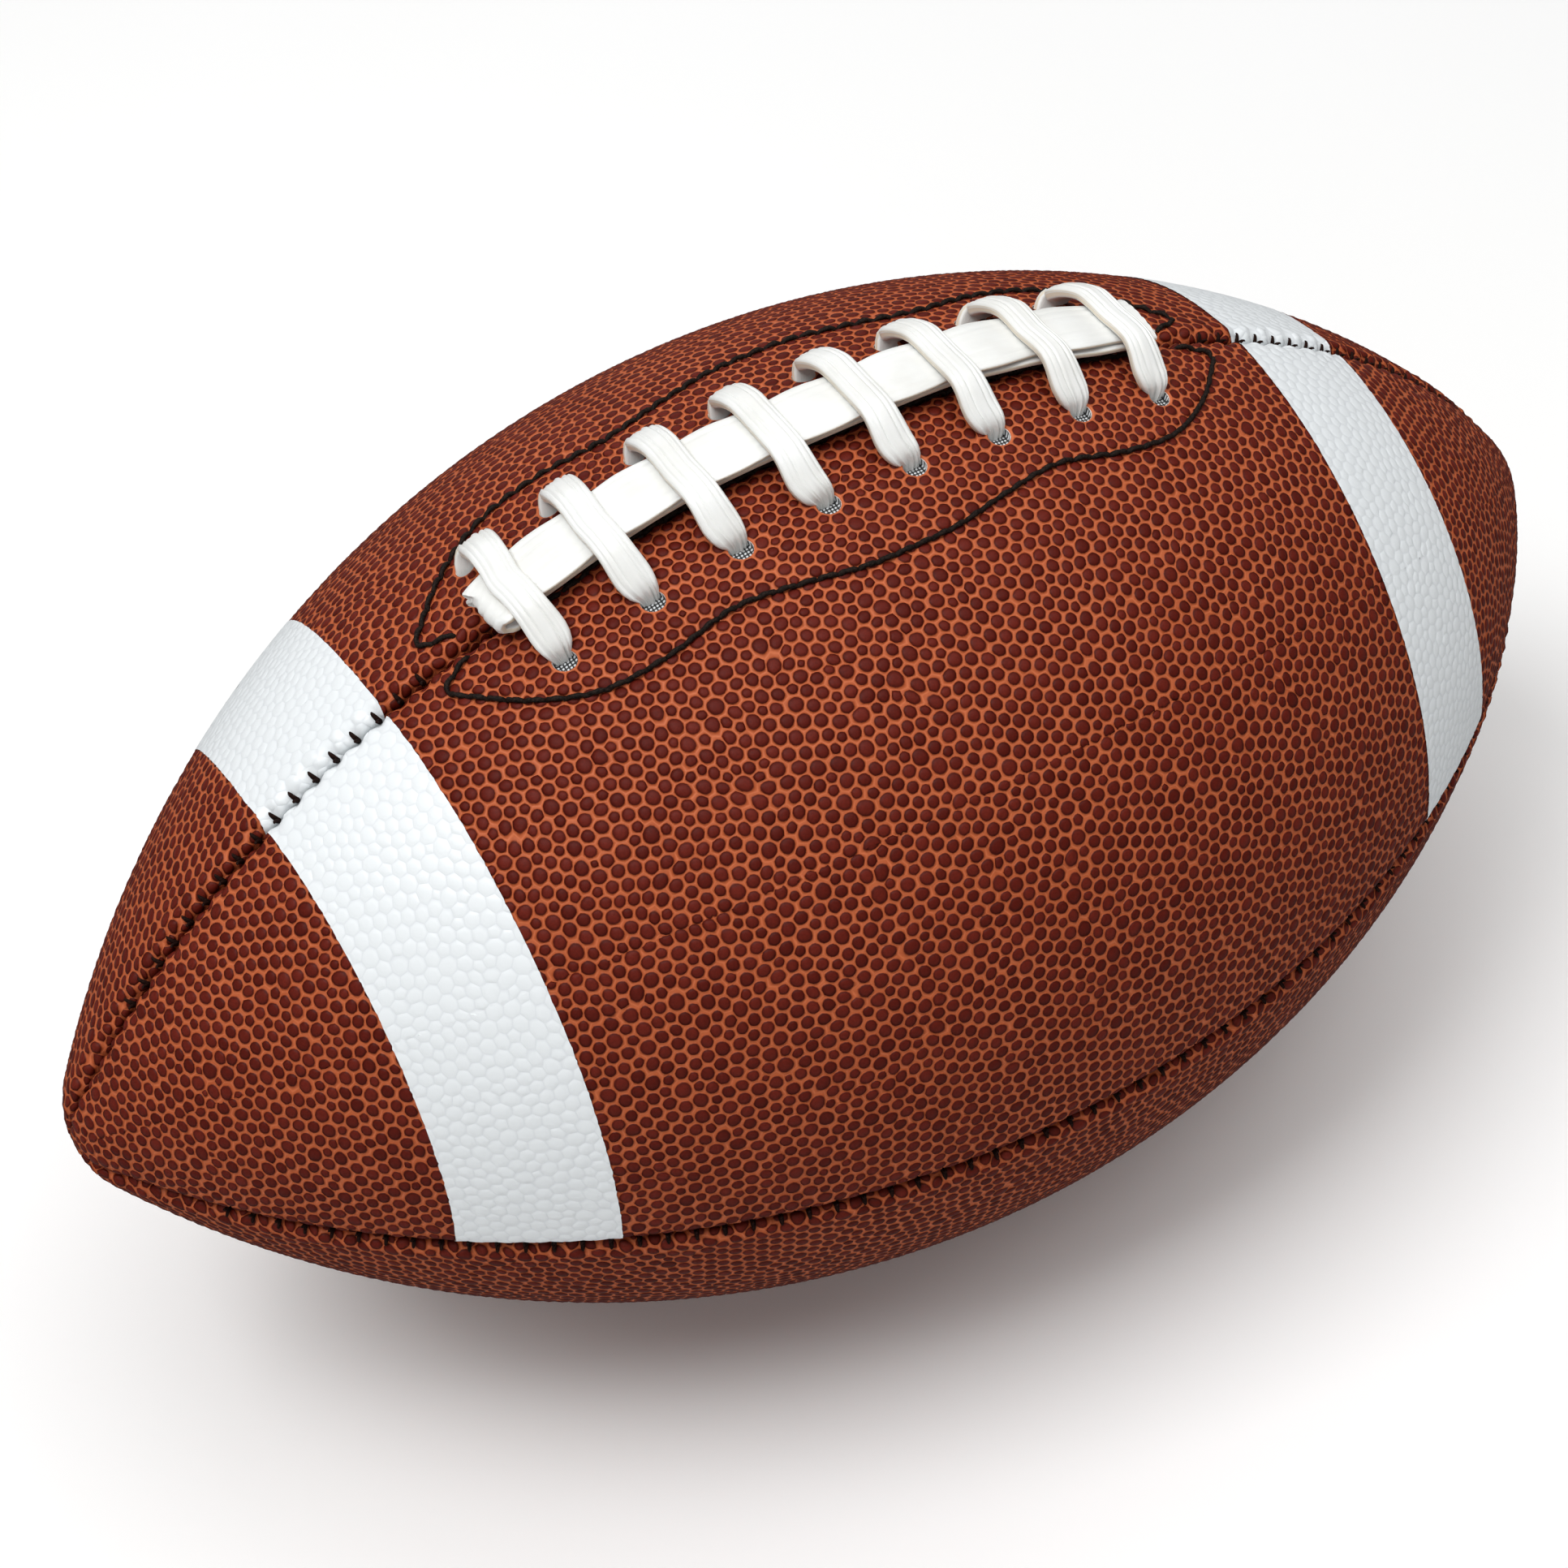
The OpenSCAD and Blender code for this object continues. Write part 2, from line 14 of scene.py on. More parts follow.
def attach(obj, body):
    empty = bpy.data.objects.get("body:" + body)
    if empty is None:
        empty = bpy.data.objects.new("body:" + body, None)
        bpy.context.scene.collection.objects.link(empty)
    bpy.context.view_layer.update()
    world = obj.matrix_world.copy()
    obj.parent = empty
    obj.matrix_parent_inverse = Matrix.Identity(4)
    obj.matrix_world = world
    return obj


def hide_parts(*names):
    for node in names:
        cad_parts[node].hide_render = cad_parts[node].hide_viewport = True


bl_info = {
    "name": "American football",
    "version": (1, 0, 0),
    "blender": (4, 5, 0),
    "location": "3D View > Sidebar > Football",
    "description": "Dresses the CAD model of a laced ball: grain, stripes, lacing, threads and stage",
    "category": "Object",
}

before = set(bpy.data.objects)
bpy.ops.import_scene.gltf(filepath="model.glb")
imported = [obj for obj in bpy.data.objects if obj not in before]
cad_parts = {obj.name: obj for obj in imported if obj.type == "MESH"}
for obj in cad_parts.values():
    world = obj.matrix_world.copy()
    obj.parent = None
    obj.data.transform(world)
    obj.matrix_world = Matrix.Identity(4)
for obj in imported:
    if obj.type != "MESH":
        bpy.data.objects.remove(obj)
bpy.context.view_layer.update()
MM = 0.001

# The ball's profile, as in the CAD source
BALL_LENGTH = 288.0
BALL_DIAMETER = 162.0
NOSE_RADIUS = 17.0
NOSE_PIT_RADIUS = 0.9
BALL_RADIUS = BALL_DIAMETER / 2
NOSE_X = BALL_LENGTH / 2 - NOSE_RADIUS
SIDE_RADIUS = (NOSE_X**2 + BALL_RADIUS**2 - NOSE_RADIUS**2) / (2 * (BALL_RADIUS - NOSE_RADIUS))
SIDE_DROP = SIDE_RADIUS - BALL_RADIUS
BLEND_ANGLE = math.atan(NOSE_X / SIDE_DROP)
SIDE_ARC = SIDE_RADIUS * BLEND_ANGLE
PROFILE_END = SIDE_ARC + NOSE_RADIUS * (math.pi / 2 - BLEND_ANGLE) - NOSE_PIT_RADIUS
# Past the profile's end the panels' points turn into the pit at the nose, this far
PIT_DEPTH = 1.6

# Seams, counted round the ball as turns from the top one towards the front, in radians
TOP, FRONT, BOTTOM, BACK = 0.0, math.pi / 2, math.pi, -math.pi / 2
QUARTER = math.pi / 2
SIDES = {"front": 1, "back": -1}
STITCH_PITCH = 4.4
SEAM_HALF_GAP = 0.22

# The panels, each with the seam that it starts at
PANELS = {"upper_front": TOP, "lower_front": FRONT, "lower_back": -BOTTOM, "upper_back": BACK}

# Places of the lacing and the stripes
SLIT_HALF_LENGTH = 64.0
SLIT_HALF_GAP = 1.0
LACE_COUNT = 8
LACING_END_GAP = 11.8
LACE_PITCH = 2 * (SLIT_HALF_LENGTH - LACING_END_GAP) / (LACE_COUNT - 1)
HOLE_OFFSET = 13.3
LACE_SLANT = 3.8
OUTLINE_HALF_LENGTH = SLIT_HALF_LENGTH + 4.0
OUTLINE_HALF_WIDTH = 26.0
OUTLINE_SHARES = [
    (0, 1), (0.12, 0.985), (0.25, 0.91), (0.41, 0.83), (0.58, 0.87), (0.73, 0.82), (0.86, 0.62),
    (0.96, 0.36), (1, 0.2),
]
OUTLINE_RETURN_SHARE = 0.93
SLIT_STITCH_OFFSET = 3.6
STRIPE_START, STRIPE_END = 76.8, 98.9


class BallSizes(bpy.types.PropertyGroup):
    """Sizes of the grain, seams and threads."""

    pebble: bpy.props.FloatProperty(
        name="Pebble pitch", description="Distance between neighbouring pebbles of the grain",
        default=2.4 * MM, min=1.8 * MM, max=6 * MM, subtype="DISTANCE", unit="LENGTH")
    relief: bpy.props.FloatProperty(
        name="Pebble relief", description="Depth of the valleys between pebbles",
        default=0.36 * MM, min=0.0, max=1 * MM, subtype="DISTANCE", unit="LENGTH")
    roll: bpy.props.FloatProperty(
        name="Seam roll", description="Radius of the panel edge that rolls into a seam",
        default=2.7 * MM, min=1 * MM, max=4 * MM, subtype="DISTANCE", unit="LENGTH")
    hole: bpy.props.FloatProperty(
        name="Lace hole", description="Radius of a lace hole",
        default=1.9 * MM, min=1.5 * MM, max=3 * MM, subtype="DISTANCE", unit="LENGTH")
    lace_width: bpy.props.FloatProperty(
        name="Lace width", description="Width of the lace where it lies flat along the slit",
        default=11 * MM, min=8 * MM, max=12 * MM, subtype="DISTANCE", unit="LENGTH")
    lace_thickness: bpy.props.FloatProperty(
        name="Lace thickness", description="Thickness of the flat lace",
        default=1.3 * MM, min=0.8 * MM, max=2 * MM, subtype="DISTANCE", unit="LENGTH")
    gathered_width: bpy.props.FloatProperty(
        name="Gathered width", description="Width of the lace where it is gathered to cross the slit",
        default=6.2 * MM, min=5 * MM, max=7 * MM, subtype="DISTANCE", unit="LENGTH")
    gathered_thickness: bpy.props.FloatProperty(
        name="Gathered thickness", description="Thickness of the lace where it crosses the slit",
        default=2 * MM, min=1.3 * MM, max=3 * MM, subtype="DISTANCE", unit="LENGTH")
    thread: bpy.props.FloatProperty(
        name="Thread", description="Diameter of the black thread round the lacing",
        default=0.9 * MM, min=0.5 * MM, max=1.5 * MM, subtype="DISTANCE", unit="LENGTH")


def linear(hex_colour):
    """The linear colour of an sRGB hex value such as "5C2422"."""
    parts = [int(hex_colour[i:i + 2], 16) / 255 for i in (0, 2, 4)]
    return [p / 12.92 if p <= 0.04045 else ((p + 0.055) / 1.055) ** 2.4 for p in parts] + [1.0]


class BallColours(bpy.types.PropertyGroup):
    """Colours of the ball's finishes."""

    pebble_top: bpy.props.FloatVectorProperty(
        name="Pebble tops", description="Dark maroon ink on the tops of the pebbles",
        default=linear("501208"), size=4, subtype="COLOR", min=0, max=1)
    worn_top: bpy.props.FloatVectorProperty(
        name="Worn tops", description="The palest of the inked tops",
        default=linear("621D12"), size=4, subtype="COLOR", min=0, max=1)
    valley: bpy.props.FloatVectorProperty(
        name="Valleys", description="Rust-brown base colour between the pebbles",
        default=linear("94411F"), size=4, subtype="COLOR", min=0, max=1)
    # this colour serves both the base's real pale patches and the painted highlight along the valleys'
    # middles
    pale_valley_and_highlight: bpy.props.FloatVectorProperty(
        name="Pale valleys", description="The palest patches of the base colour",
        default=linear("BE6640"), size=4, subtype="COLOR", min=0, max=1)
    stripe: bpy.props.FloatVectorProperty(
        name="Stripes", description="White film of the stripes",
        default=linear("E2E6E8"), size=4, subtype="COLOR", min=0, max=1)
    # painted shade: the film is drawn greyer in its valleys, for the shade that falls in them, and not for
    # dirt
    stripe_valley_painted_shade: bpy.props.FloatVectorProperty(
        name="Stripe valleys", description="White film in the valleys, where some dirt stays",
        default=linear("D9DDE0"), size=4, subtype="COLOR", min=0, max=1)
    lace: bpy.props.FloatVectorProperty(
        name="Lace", description="White vinyl of the lace",
        default=linear("E9EAE8"), size=4, subtype="COLOR", min=0, max=1)
    lace_shade: bpy.props.FloatVectorProperty(
        name="Handled lace", description="White vinyl where it has been handled",
        default=linear("DEDEDA"), size=4, subtype="COLOR", min=0, max=1)
    thread: bpy.props.FloatVectorProperty(
        name="Thread", description="Black of the thread round the lacing",
        default=linear("0D0B0A"), size=4, subtype="COLOR", min=0, max=1)


# Shape of the cover

def profile(t):
    """x, radius and outward lean of the profile at an arc length t from the middle (arrays)."""
    sign = np.where(t < 0, -1.0, 1.0)
    a = np.abs(t)
    on_side = a < SIDE_ARC
    in_pit = a > PROFILE_END
    lean = np.where(on_side, a / SIDE_RADIUS, BLEND_ANGLE + (a - SIDE_ARC) / NOSE_RADIUS)
    lean = np.minimum(lean, BLEND_ANGLE + (PROFILE_END - SIDE_ARC) / NOSE_RADIUS)
    x = np.where(on_side, SIDE_RADIUS * np.sin(lean), NOSE_X + NOSE_RADIUS * np.sin(lean))
    r = np.where(on_side, SIDE_RADIUS * np.cos(lean) - SIDE_DROP, NOSE_RADIUS * np.cos(lean))
    x = np.where(in_pit, x - (a - PROFILE_END), x)
    lean = np.where(in_pit, math.pi / 2, lean)
    return sign * x, r, sign * lean


def arc_at(x):
    """Arc length along the profile from the middle to x, on the side's arc."""
    return SIDE_RADIUS * math.asin(x / SIDE_RADIUS)


def place(x, r, lean, turn, height):
    """Points of the frame, in mm, at a turn round the ball and a height over the cover."""
    out = r + height * np.cos(lean)
    return np.stack([x + height * np.sin(lean), -out * np.sin(turn),
                     out * np.cos(turn) + BALL_RADIUS], axis=-1)


def on_cover(x, across, height):
    """The point at x, at an arc distance across from the top seam (front is positive)."""
    x, across, height = (np.asarray(v, float) for v in (x, across, height))
    lean = np.arcsin(np.clip(x / SIDE_RADIUS, -1, 1))
    r = SIDE_RADIUS * np.cos(lean) - SIDE_DROP
    return place(x, r, lean, across / r, height)


def smooth(v, low, high):
    """0 below low, 1 above high, and a smooth step between them."""
    s = np.clip((v - low) / (high - low), 0, 1)
    return s * s * (3 - 2 * s)


def smooth_line(knots, pitch):
    """A smooth curve through knots, cut into steps of about this pitch."""
    k = np.array(knots, float)
    line = []
    for i in range(len(k) - 1):
        a, b, c, d = k[max(i - 1, 0)], k[i], k[i + 1], k[min(i + 2, len(k) - 1)]
        steps = max(1, round(float(np.linalg.norm(c - b)) / pitch))
        for j in range(steps):
            s = j / steps
            line.append((2 * b + (c - a) * s + (2 * a - 5 * b + 4 * c - d) * s**2
                         + (3 * b - a - 3 * c + d) * s**3) / 2)
    line.append(k[-1])
    return np.array(line)


def distance_along(path):
    """The distance from the start of a path to each of its points."""
    return np.concatenate([[0], np.cumsum(np.linalg.norm(np.diff(path, axis=0), axis=1))])


def outline_line(pitch):
    """The stitched outline on one side of the slit: (x, distance across) from end to end."""
    half = [(OUTLINE_HALF_LENGTH * a, OUTLINE_HALF_WIDTH * b) for a, b in OUTLINE_SHARES]
    back = (OUTLINE_RETURN_SHARE * OUTLINE_HALF_LENGTH, 2.6)
    knots = [(-back[0], back[1])] + [(-x, y) for x, y in half[::-1]] + half[1:] + [back]
    return smooth_line(knots, pitch)


def hole_x(i, side):
    """Where a lace hole lies along the ball: side 1 is the front, -1 the back."""
    return (i - (LACE_COUNT - 1) / 2) * LACE_PITCH - (LACE_SLANT if side < 0 else 0)


# Meshes

def select_only(*objects):
    """Leaves just these objects selected, the last one active."""
    bpy.ops.object.select_all(action="DESELECT")
    for o in objects:
        o.select_set(True)
        bpy.context.view_layer.objects.active = o


def new_object(name, points_mm, faces, face_slots=None):
    """A mesh object from points in mm and faces as an array or list of corner lists."""
    mesh = bpy.data.meshes.new(name)
    mesh.from_pydata((np.asarray(points_mm) * MM).tolist(), [], [list(map(int, f)) for f in faces])
    if face_slots is not None:
        mesh.polygons.foreach_set("material_index", np.asarray(face_slots, np.int32))
    mesh.update()
    obj = bpy.data.objects.new(name, mesh)
    bpy.context.scene.collection.objects.link(obj)
    return obj


def finish_piece(obj, materials, replaced, smooth_angle=None):
    """Gives a piece its materials, rides it on the ball and hides the CAD nodes that it stands for."""
    for m in materials:
        obj.data.materials.append(m)
    select_only(obj)
    if smooth_angle is None:
        bpy.ops.object.shade_smooth()
    else:
        bpy.ops.object.shade_smooth_by_angle(angle=math.radians(smooth_angle))
    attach(obj, "root")
    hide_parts(*replaced)


def add_map(obj, name, corners):
    """A UV map with one place for each corner of each face."""
    layer = obj.data.uv_layers.new(name=name)
    layer.data.foreach_set("uv", np.asarray(corners, np.float32).ravel())


def sweep(rings):
    """Points and faces of a closed tube through rings, an array of (rings, sides, 3)."""
    count, sides = rings.shape[:2]
    i, j = np.meshgrid(np.arange(count - 1), np.arange(sides), indexing="ij")
    a, b = i * sides + j, i * sides + (j + 1) % sides
    faces = np.stack([a, b, b + sides, a + sides], axis=-1).reshape(-1, 4).tolist()
    faces.append(list(range(sides))[::-1])
    faces.append([(count - 1) * sides + k for k in range(sides)])
    return rings.reshape(-1, 3), faces


def rings_round(path, side, up, sideways, upwards):
    """Rings of points round a path, from their offsets along its side and up directions."""
    return path[:, None] + side[:, None] * sideways[..., None] + up[:, None] * upwards[..., None]


def frames_along(path, across):
    """Unit vectors along, sideways and up at each point of a path, with sideways near across."""
    along = np.gradient(path, axis=0)
    along /= np.linalg.norm(along, axis=1, keepdims=True)
    side = across - along * np.sum(across * along, axis=1, keepdims=True)
    side /= np.linalg.norm(side, axis=1, keepdims=True)
    return along, side, np.cross(along, side)


def face_outwards(obj):
    """Turns the faces of a closed piece outwards."""
    select_only(obj)
    bpy.ops.object.mode_set(mode="EDIT")
    bpy.ops.mesh.select_all(action="SELECT")
    bpy.ops.mesh.normals_make_consistent(inside=False)
    bpy.ops.object.mode_set(mode="OBJECT")


def joined(parts):
    """One set of points and faces from several."""
    points, faces, start = [], [], 0
    for p, f in parts:
        points.append(p)
        faces += [[c + start for c in face] for face in f]
        start += len(p)
    return np.concatenate(points), faces


# Materials

def add_node(tree, kind, settings=None, links=None):
    """Adds a node, sets its properties, unlinked inputs or ramp stops, and links its other inputs."""
    node = tree.nodes.new(kind)
    for key, value in (settings or {}).items():
        if key == "stops":
            elements = node.color_ramp.elements
            while len(elements) < len(value):
                elements.new(0.5)
            for element, (position, tone) in zip(elements, value):
                element.position = position
                element.color = [tone, tone, tone, 1.0] if isinstance(tone, float) else tone
        elif isinstance(key, int) or key in node.inputs:
            node.inputs[key].default_value = value
        else:
            setattr(node, key, value)
    for key, source in (links or {}).items():
        socket = source.outputs[0] if isinstance(source, bpy.types.Node) else source
        tree.links.new(socket, node.inputs[key])
    return node


def new_material(name, roughness, ior=1.5, **shader):
    """A material with its node tree, its shader node, and the settings that are the same all over."""
    material = bpy.data.materials.new(name)
    material.use_nodes = True
    tree = material.node_tree
    bsdf = tree.nodes["Principled BSDF"]
    bsdf.inputs["Roughness"].default_value = roughness
    bsdf.inputs["IOR"].default_value = ior
    for key, value in shader.items():
        bsdf.inputs[key.replace("_", " ")].default_value = value
    return material, tree, bsdf


def grain(tree):
    """The pebble grain's place on the Pebble map, whose U runs from a pebble's middle, 0, to the
    valley round it, 1, and whose V is a number of the pebble's own; and Object coordinates."""
    uv = add_node(tree, "ShaderNodeUVMap", {"uv_map": "Pebble"})
    parts = add_node(tree, "ShaderNodeSeparateXYZ", links={0: uv})
    at = add_node(tree, "ShaderNodeTexCoord").outputs["Object"]
    noise = add_node(tree, "ShaderNodeTexNoise", {"Scale": 900.0, "Detail": 2.0}, {"Vector": at})
    wobble = add_node(tree, "ShaderNodeMath", {"operation": "MULTIPLY_ADD", 1: 0.12, 2: -0.06},
                      {0: noise.outputs["Fac"]})
    share = add_node(tree, "ShaderNodeMath", {"operation": "ADD"}, {0: parts.outputs["X"], 1: wobble})
    return share, parts.outputs["Y"], at


def composite_leather(colours):
    """Pebbled composite leather: a rust-brown base whose pebble tops are inked dark maroon.
    The eye sees matt dark dots with a dull sheen over bright valleys that glint a little. The tops'
    darkening towards their brinks is partly ink and partly painted shade, and the valleys' paler middles are
    a painted highlight."""
    material, tree, bsdf = new_material("pebbled composite leather", 0.5, 1.48, Specular_IOR_Level=0.11)
    share, own, at = grain(tree)
    patches = add_node(tree, "ShaderNodeTexNoise", {"Scale": 60.0, "Detail": 3.0}, {"Vector": at})
    fine = add_node(tree, "ShaderNodeTexNoise", {"Scale": 2600.0, "Detail": 3.0}, {"Vector": at})
    top = add_node(tree, "ShaderNodeMixRGB", {1: colours.pebble_top, 2: colours.worn_top}, {0: own})
    mottled = add_node(tree, "ShaderNodeMixRGB", {"blend_type": "OVERLAY", 0: 0.3},
                       {1: top, 2: fine.outputs["Fac"]})
    # the tops darken towards their brinks: partly a heavier ring of ink, partly painted shade where the
    # rounded edge turns away from the light
    ink_ring_and_painted_shade = add_node(tree, "ShaderNodeValToRGB",
                          {"stops": [(0.0, 1.0), (0.5, 0.95), (0.72, 0.62), (1.0, 0.62)]}, {0: share})
    tops_with_ink_ring_and_shade = add_node(tree, "ShaderNodeMixRGB", {"blend_type": "MULTIPLY", 0: 1.0},
                      {1: mottled, 2: ink_ring_and_painted_shade})
    # painted highlight: the middle line of each valley is drawn paler, for the light that catches the low
    # ridge there
    valley_ridge_painted_highlight = add_node(tree, "ShaderNodeValToRGB", {"stops": [(0.84, 0.1), (0.93, 0.35), (1.0, 0.9)]},
                     {0: share})
    # the paleness is random pale patches of the base colour plus that painted highlight
    pale_patches_and_painted_highlight = add_node(tree, "ShaderNodeMath", {"operation": "MULTIPLY_ADD", 1: 0.5},
                        {0: patches.outputs["Fac"], 2: valley_ridge_painted_highlight})
    valley = add_node(tree, "ShaderNodeMixRGB", {1: colours.valley, 2: colours.pale_valley_and_highlight}, {0: pale_patches_and_painted_highlight})
    ink = add_node(tree, "ShaderNodeValToRGB", {"stops": [(0.0, 0.0), (0.76, 0.0), (0.83, 1.0), (1.0, 1.0)]},
                   {0: share})
    colour = add_node(tree, "ShaderNodeMixRGB", None, {0: ink, 1: tops_with_ink_ring_and_shade, 2: valley})
    tree.links.new(colour.outputs[0], bsdf.inputs["Base Color"])
    rough = add_node(tree, "ShaderNodeValToRGB",
                     {"stops": [(0.0, 0.54), (0.7, 0.5), (0.85, 0.4), (1.0, 0.42)]}, {0: share})
    tree.links.new(rough.outputs[0], bsdf.inputs["Roughness"])
    dome_stops = [(0.0, 1.0), (0.5, 0.96), (0.74, 0.7), (0.86, 0.1), (0.94, 0.05), (1.0, 0.16)]
    dome = add_node(tree, "ShaderNodeValToRGB", {"stops": dome_stops}, {0: share})
    height = add_node(tree, "ShaderNodeMath", {"operation": "MULTIPLY_ADD", 1: 0.1},
                      {0: fine.outputs["Fac"], 2: dome})
    bump = add_node(tree, "ShaderNodeBump", {"Strength": 0.8, "Distance": 0.22 * MM}, {"Height": height})
    tree.links.new(bump.outputs[0], bsdf.inputs["Normal"])
    return material


def stripe_film(colours):
    """White vinyl film, hot-pressed on the grain: satin, with the pebbles showing through softly."""
    material, tree, bsdf = new_material("pressed white stripe film", 0.38)
    share = grain(tree)[0]
    # the film's valleys take the painted shade tone
    tone = add_node(tree, "ShaderNodeValToRGB",
                    {"stops": [(0.0, colours.stripe), (0.8, colours.stripe), (1.0, colours.stripe_valley_painted_shade)]},
                    {0: share})
    tree.links.new(tone.outputs[0], bsdf.inputs["Base Color"])
    dome = add_node(tree, "ShaderNodeValToRGB",
                    {"stops": [(0.0, 1.0), (0.5, 0.94), (0.8, 0.5), (1.0, 0.0)]}, {0: share})
    bump = add_node(tree, "ShaderNodeBump", {"Strength": 0.3, "Distance": 0.15 * MM}, {"Height": dome})
    tree.links.new(bump.outputs[0], bsdf.inputs["Normal"])
    return material


def noisy_material(name, roughness, scale, low_tone, high_tone, bump_mm, bump_scale, **shader):
    """A material whose colour wanders between two tones, with a fine bump; scales are per metre."""
    material, tree, bsdf = new_material(name, roughness, **shader)
    at = add_node(tree, "ShaderNodeTexCoord").outputs["Object"]
    cloud = add_node(tree, "ShaderNodeTexNoise", {"Scale": scale, "Detail": 4.0}, {"Vector": at})
    tone = add_node(tree, "ShaderNodeValToRGB", {"stops": [(0.35, low_tone), (0.68, high_tone)]},
                    {0: cloud.outputs["Fac"]})
    tree.links.new(tone.outputs[0], bsdf.inputs["Base Color"])
    pores = add_node(tree, "ShaderNodeTexNoise", {"Scale": bump_scale, "Detail": 3.0}, {"Vector": at})
    bump = add_node(tree, "ShaderNodeBump", {"Strength": 0.6, "Distance": bump_mm * MM},
                    {"Height": pores.outputs["Fac"]})
    tree.links.new(bump.outputs[0], bsdf.inputs["Normal"])
    return material


def cut_edge():
    """The pale foam backing that shows where a hole is punched through composite leather."""
    return noisy_material("punched foam edge", 0.7, 1500.0, linear("C9C2BC"), linear("F0ECE8"),
                          0.1, 3000.0)


def waxed_thread(colours):
    """Bonded nylon thread: near-black fibres with a faint waxy sheen along the twist."""
    return noisy_material("waxed black thread", 0.62, 3500.0, colours.thread, linear("2A201B"),
                          0.1, 5000.0, Specular_IOR_Level=0.08)


def seam_twine():
    """Waxed brown-black twine of the seams, dull from the dressing that soaks in while sewing."""
    return noisy_material("waxed seam twine", 0.7, 3500.0, linear("0E0604"), linear("2A1510"),
                          0.1, 5000.0, Specular_IOR_Level=0.08)


def butyl_rubber():
    """Moulded butyl rubber of the bladder: black, with a chalky bloom in soft patches."""
    return noisy_material("moulded butyl rubber", 0.55, 120.0, linear("131313"), linear("37373A"),
                          0.06, 2200.0)


def valve_rubber():
    """Moulded valve rubber: denser and blacker than the bladder, with a satin skin."""
    return noisy_material("moulded valve rubber", 0.42, 260.0, linear("151515"), linear("2C2C2E"),
                          0.04, 3000.0)


def plug_rubber():
    """Soft gum rubber of the needle plug: red-brown and slightly tacky."""
    return noisy_material("soft gum rubber", 0.6, 400.0, linear("742A1E"), linear("96523F"),
                          0.04, 3000.0)


def coated_sheet():
    """Coated cloth of the tongue: dark grey, smooth from its rubber coat."""
    return noisy_material("rubber-coated cloth", 0.6, 220.0, linear("28282A"), linear("4C4D51"),
                          0.08, 1800.0)


def ribbed_vinyl(colours):
    """Extruded white vinyl lace: glossy, with fine lengthwise drawing lines. Its pressed edges are a
    little yellower than its faces."""
    material, tree, bsdf = new_material("ribbed vinyl lace", 0.34, 1.53, Subsurface_Weight=0.1)
    bsdf.inputs["Subsurface Radius"].default_value = (1.2 * MM, 1.1 * MM, 1.0 * MM)
    uv = add_node(tree, "ShaderNodeUVMap", {"uv_map": "Lace"})
    stretched = add_node(tree, "ShaderNodeMapping", {"Scale": (70.0, 30.0, 1.0)}, {"Vector": uv})
    lines = add_node(tree, "ShaderNodeTexNoise", {"Scale": 1.0, "Detail": 3.0}, {"Vector": stretched})
    at = add_node(tree, "ShaderNodeTexCoord").outputs["Object"]
    smudge = add_node(tree, "ShaderNodeTexNoise", {"Scale": 90.0, "Detail": 4.0}, {"Vector": at})
    tone = add_node(tree, "ShaderNodeValToRGB", {"stops": [(0.3, colours.lace_shade), (0.62, colours.lace)]},
                    {0: smudge.outputs["Fac"]})
    round_it = add_node(tree, "ShaderNodeSeparateXYZ", links={0: uv})
    edge = add_node(tree, "ShaderNodeMath", {"operation": "PINGPONG", 1: 0.25}, {0: round_it.outputs["X"]})
    at_edge = add_node(tree, "ShaderNodeValToRGB", {"stops": [(0.015, 1.0), (0.04, 0.0)]}, {0: edge})
    edged = add_node(tree, "ShaderNodeMixRGB", {2: linear("DCD2BF")}, {0: at_edge, 1: tone})
    tree.links.new(edged.outputs[0], bsdf.inputs["Base Color"])
    rough = add_node(tree, "ShaderNodeValToRGB", {"stops": [(0.3, 0.42), (0.7, 0.3)]},
                     {0: smudge.outputs["Fac"]})
    tree.links.new(rough.outputs[0], bsdf.inputs["Roughness"])
    bump = add_node(tree, "ShaderNodeBump", {"Strength": 0.5, "Distance": 0.12 * MM},
                    {"Height": lines.outputs["Fac"]})
    tree.links.new(bump.outputs[0], bsdf.inputs["Normal"])
    return material


def woven_cloth(name, yarn_mm, light, dark):
    """Plain-woven cloth on Object coordinates, its yarns yarn_mm apart, over and under each other."""
    material, tree, bsdf = new_material(name, 0.75, Sheen_Weight=0.2)
    at = add_node(tree, "ShaderNodeTexCoord").outputs["Object"]
    # a wave texture repeats 10 / pi times its scale in each metre
    scale = math.pi / (10 * yarn_mm * MM)
    warp, weft = (add_node(tree, "ShaderNodeTexWave",
                           {"bands_direction": way, "Scale": scale, "Distortion": 0.6},
                           {"Vector": at}) for way in ("X", "Y"))
    weave = add_node(tree, "ShaderNodeMath", {"operation": "MULTIPLY"},
                     {0: warp.outputs["Fac"], 1: weft.outputs["Fac"]})
    tone = add_node(tree, "ShaderNodeValToRGB", {"stops": [(0.1, dark), (0.6, light)]}, {0: weave})
    tree.links.new(tone.outputs[0], bsdf.inputs["Base Color"])
    bump = add_node(tree, "ShaderNodeBump", {"Strength": 0.8, "Distance": 0.15 * MM}, {"Height": weave})
    tree.links.new(bump.outputs[0], bsdf.inputs["Normal"])
    return material


def material_of(name, make, *details):
    """The material of that name, made by its function the first time that a piece asks for it."""
    if name not in bpy.data.materials:
        make(*details)
    return bpy.data.materials[name]


# The pebbled panels

# A panel's edge rolls over until the sine of its angle is this, and runs straight down as the seam's wall
ROLL_END = 0.95
WALL_DEPTH = 2.6
# Edges, walls and puckers get smaller near the noses, where the ball's radius is less than this
FULL_ROLL_RADIUS = 14.0
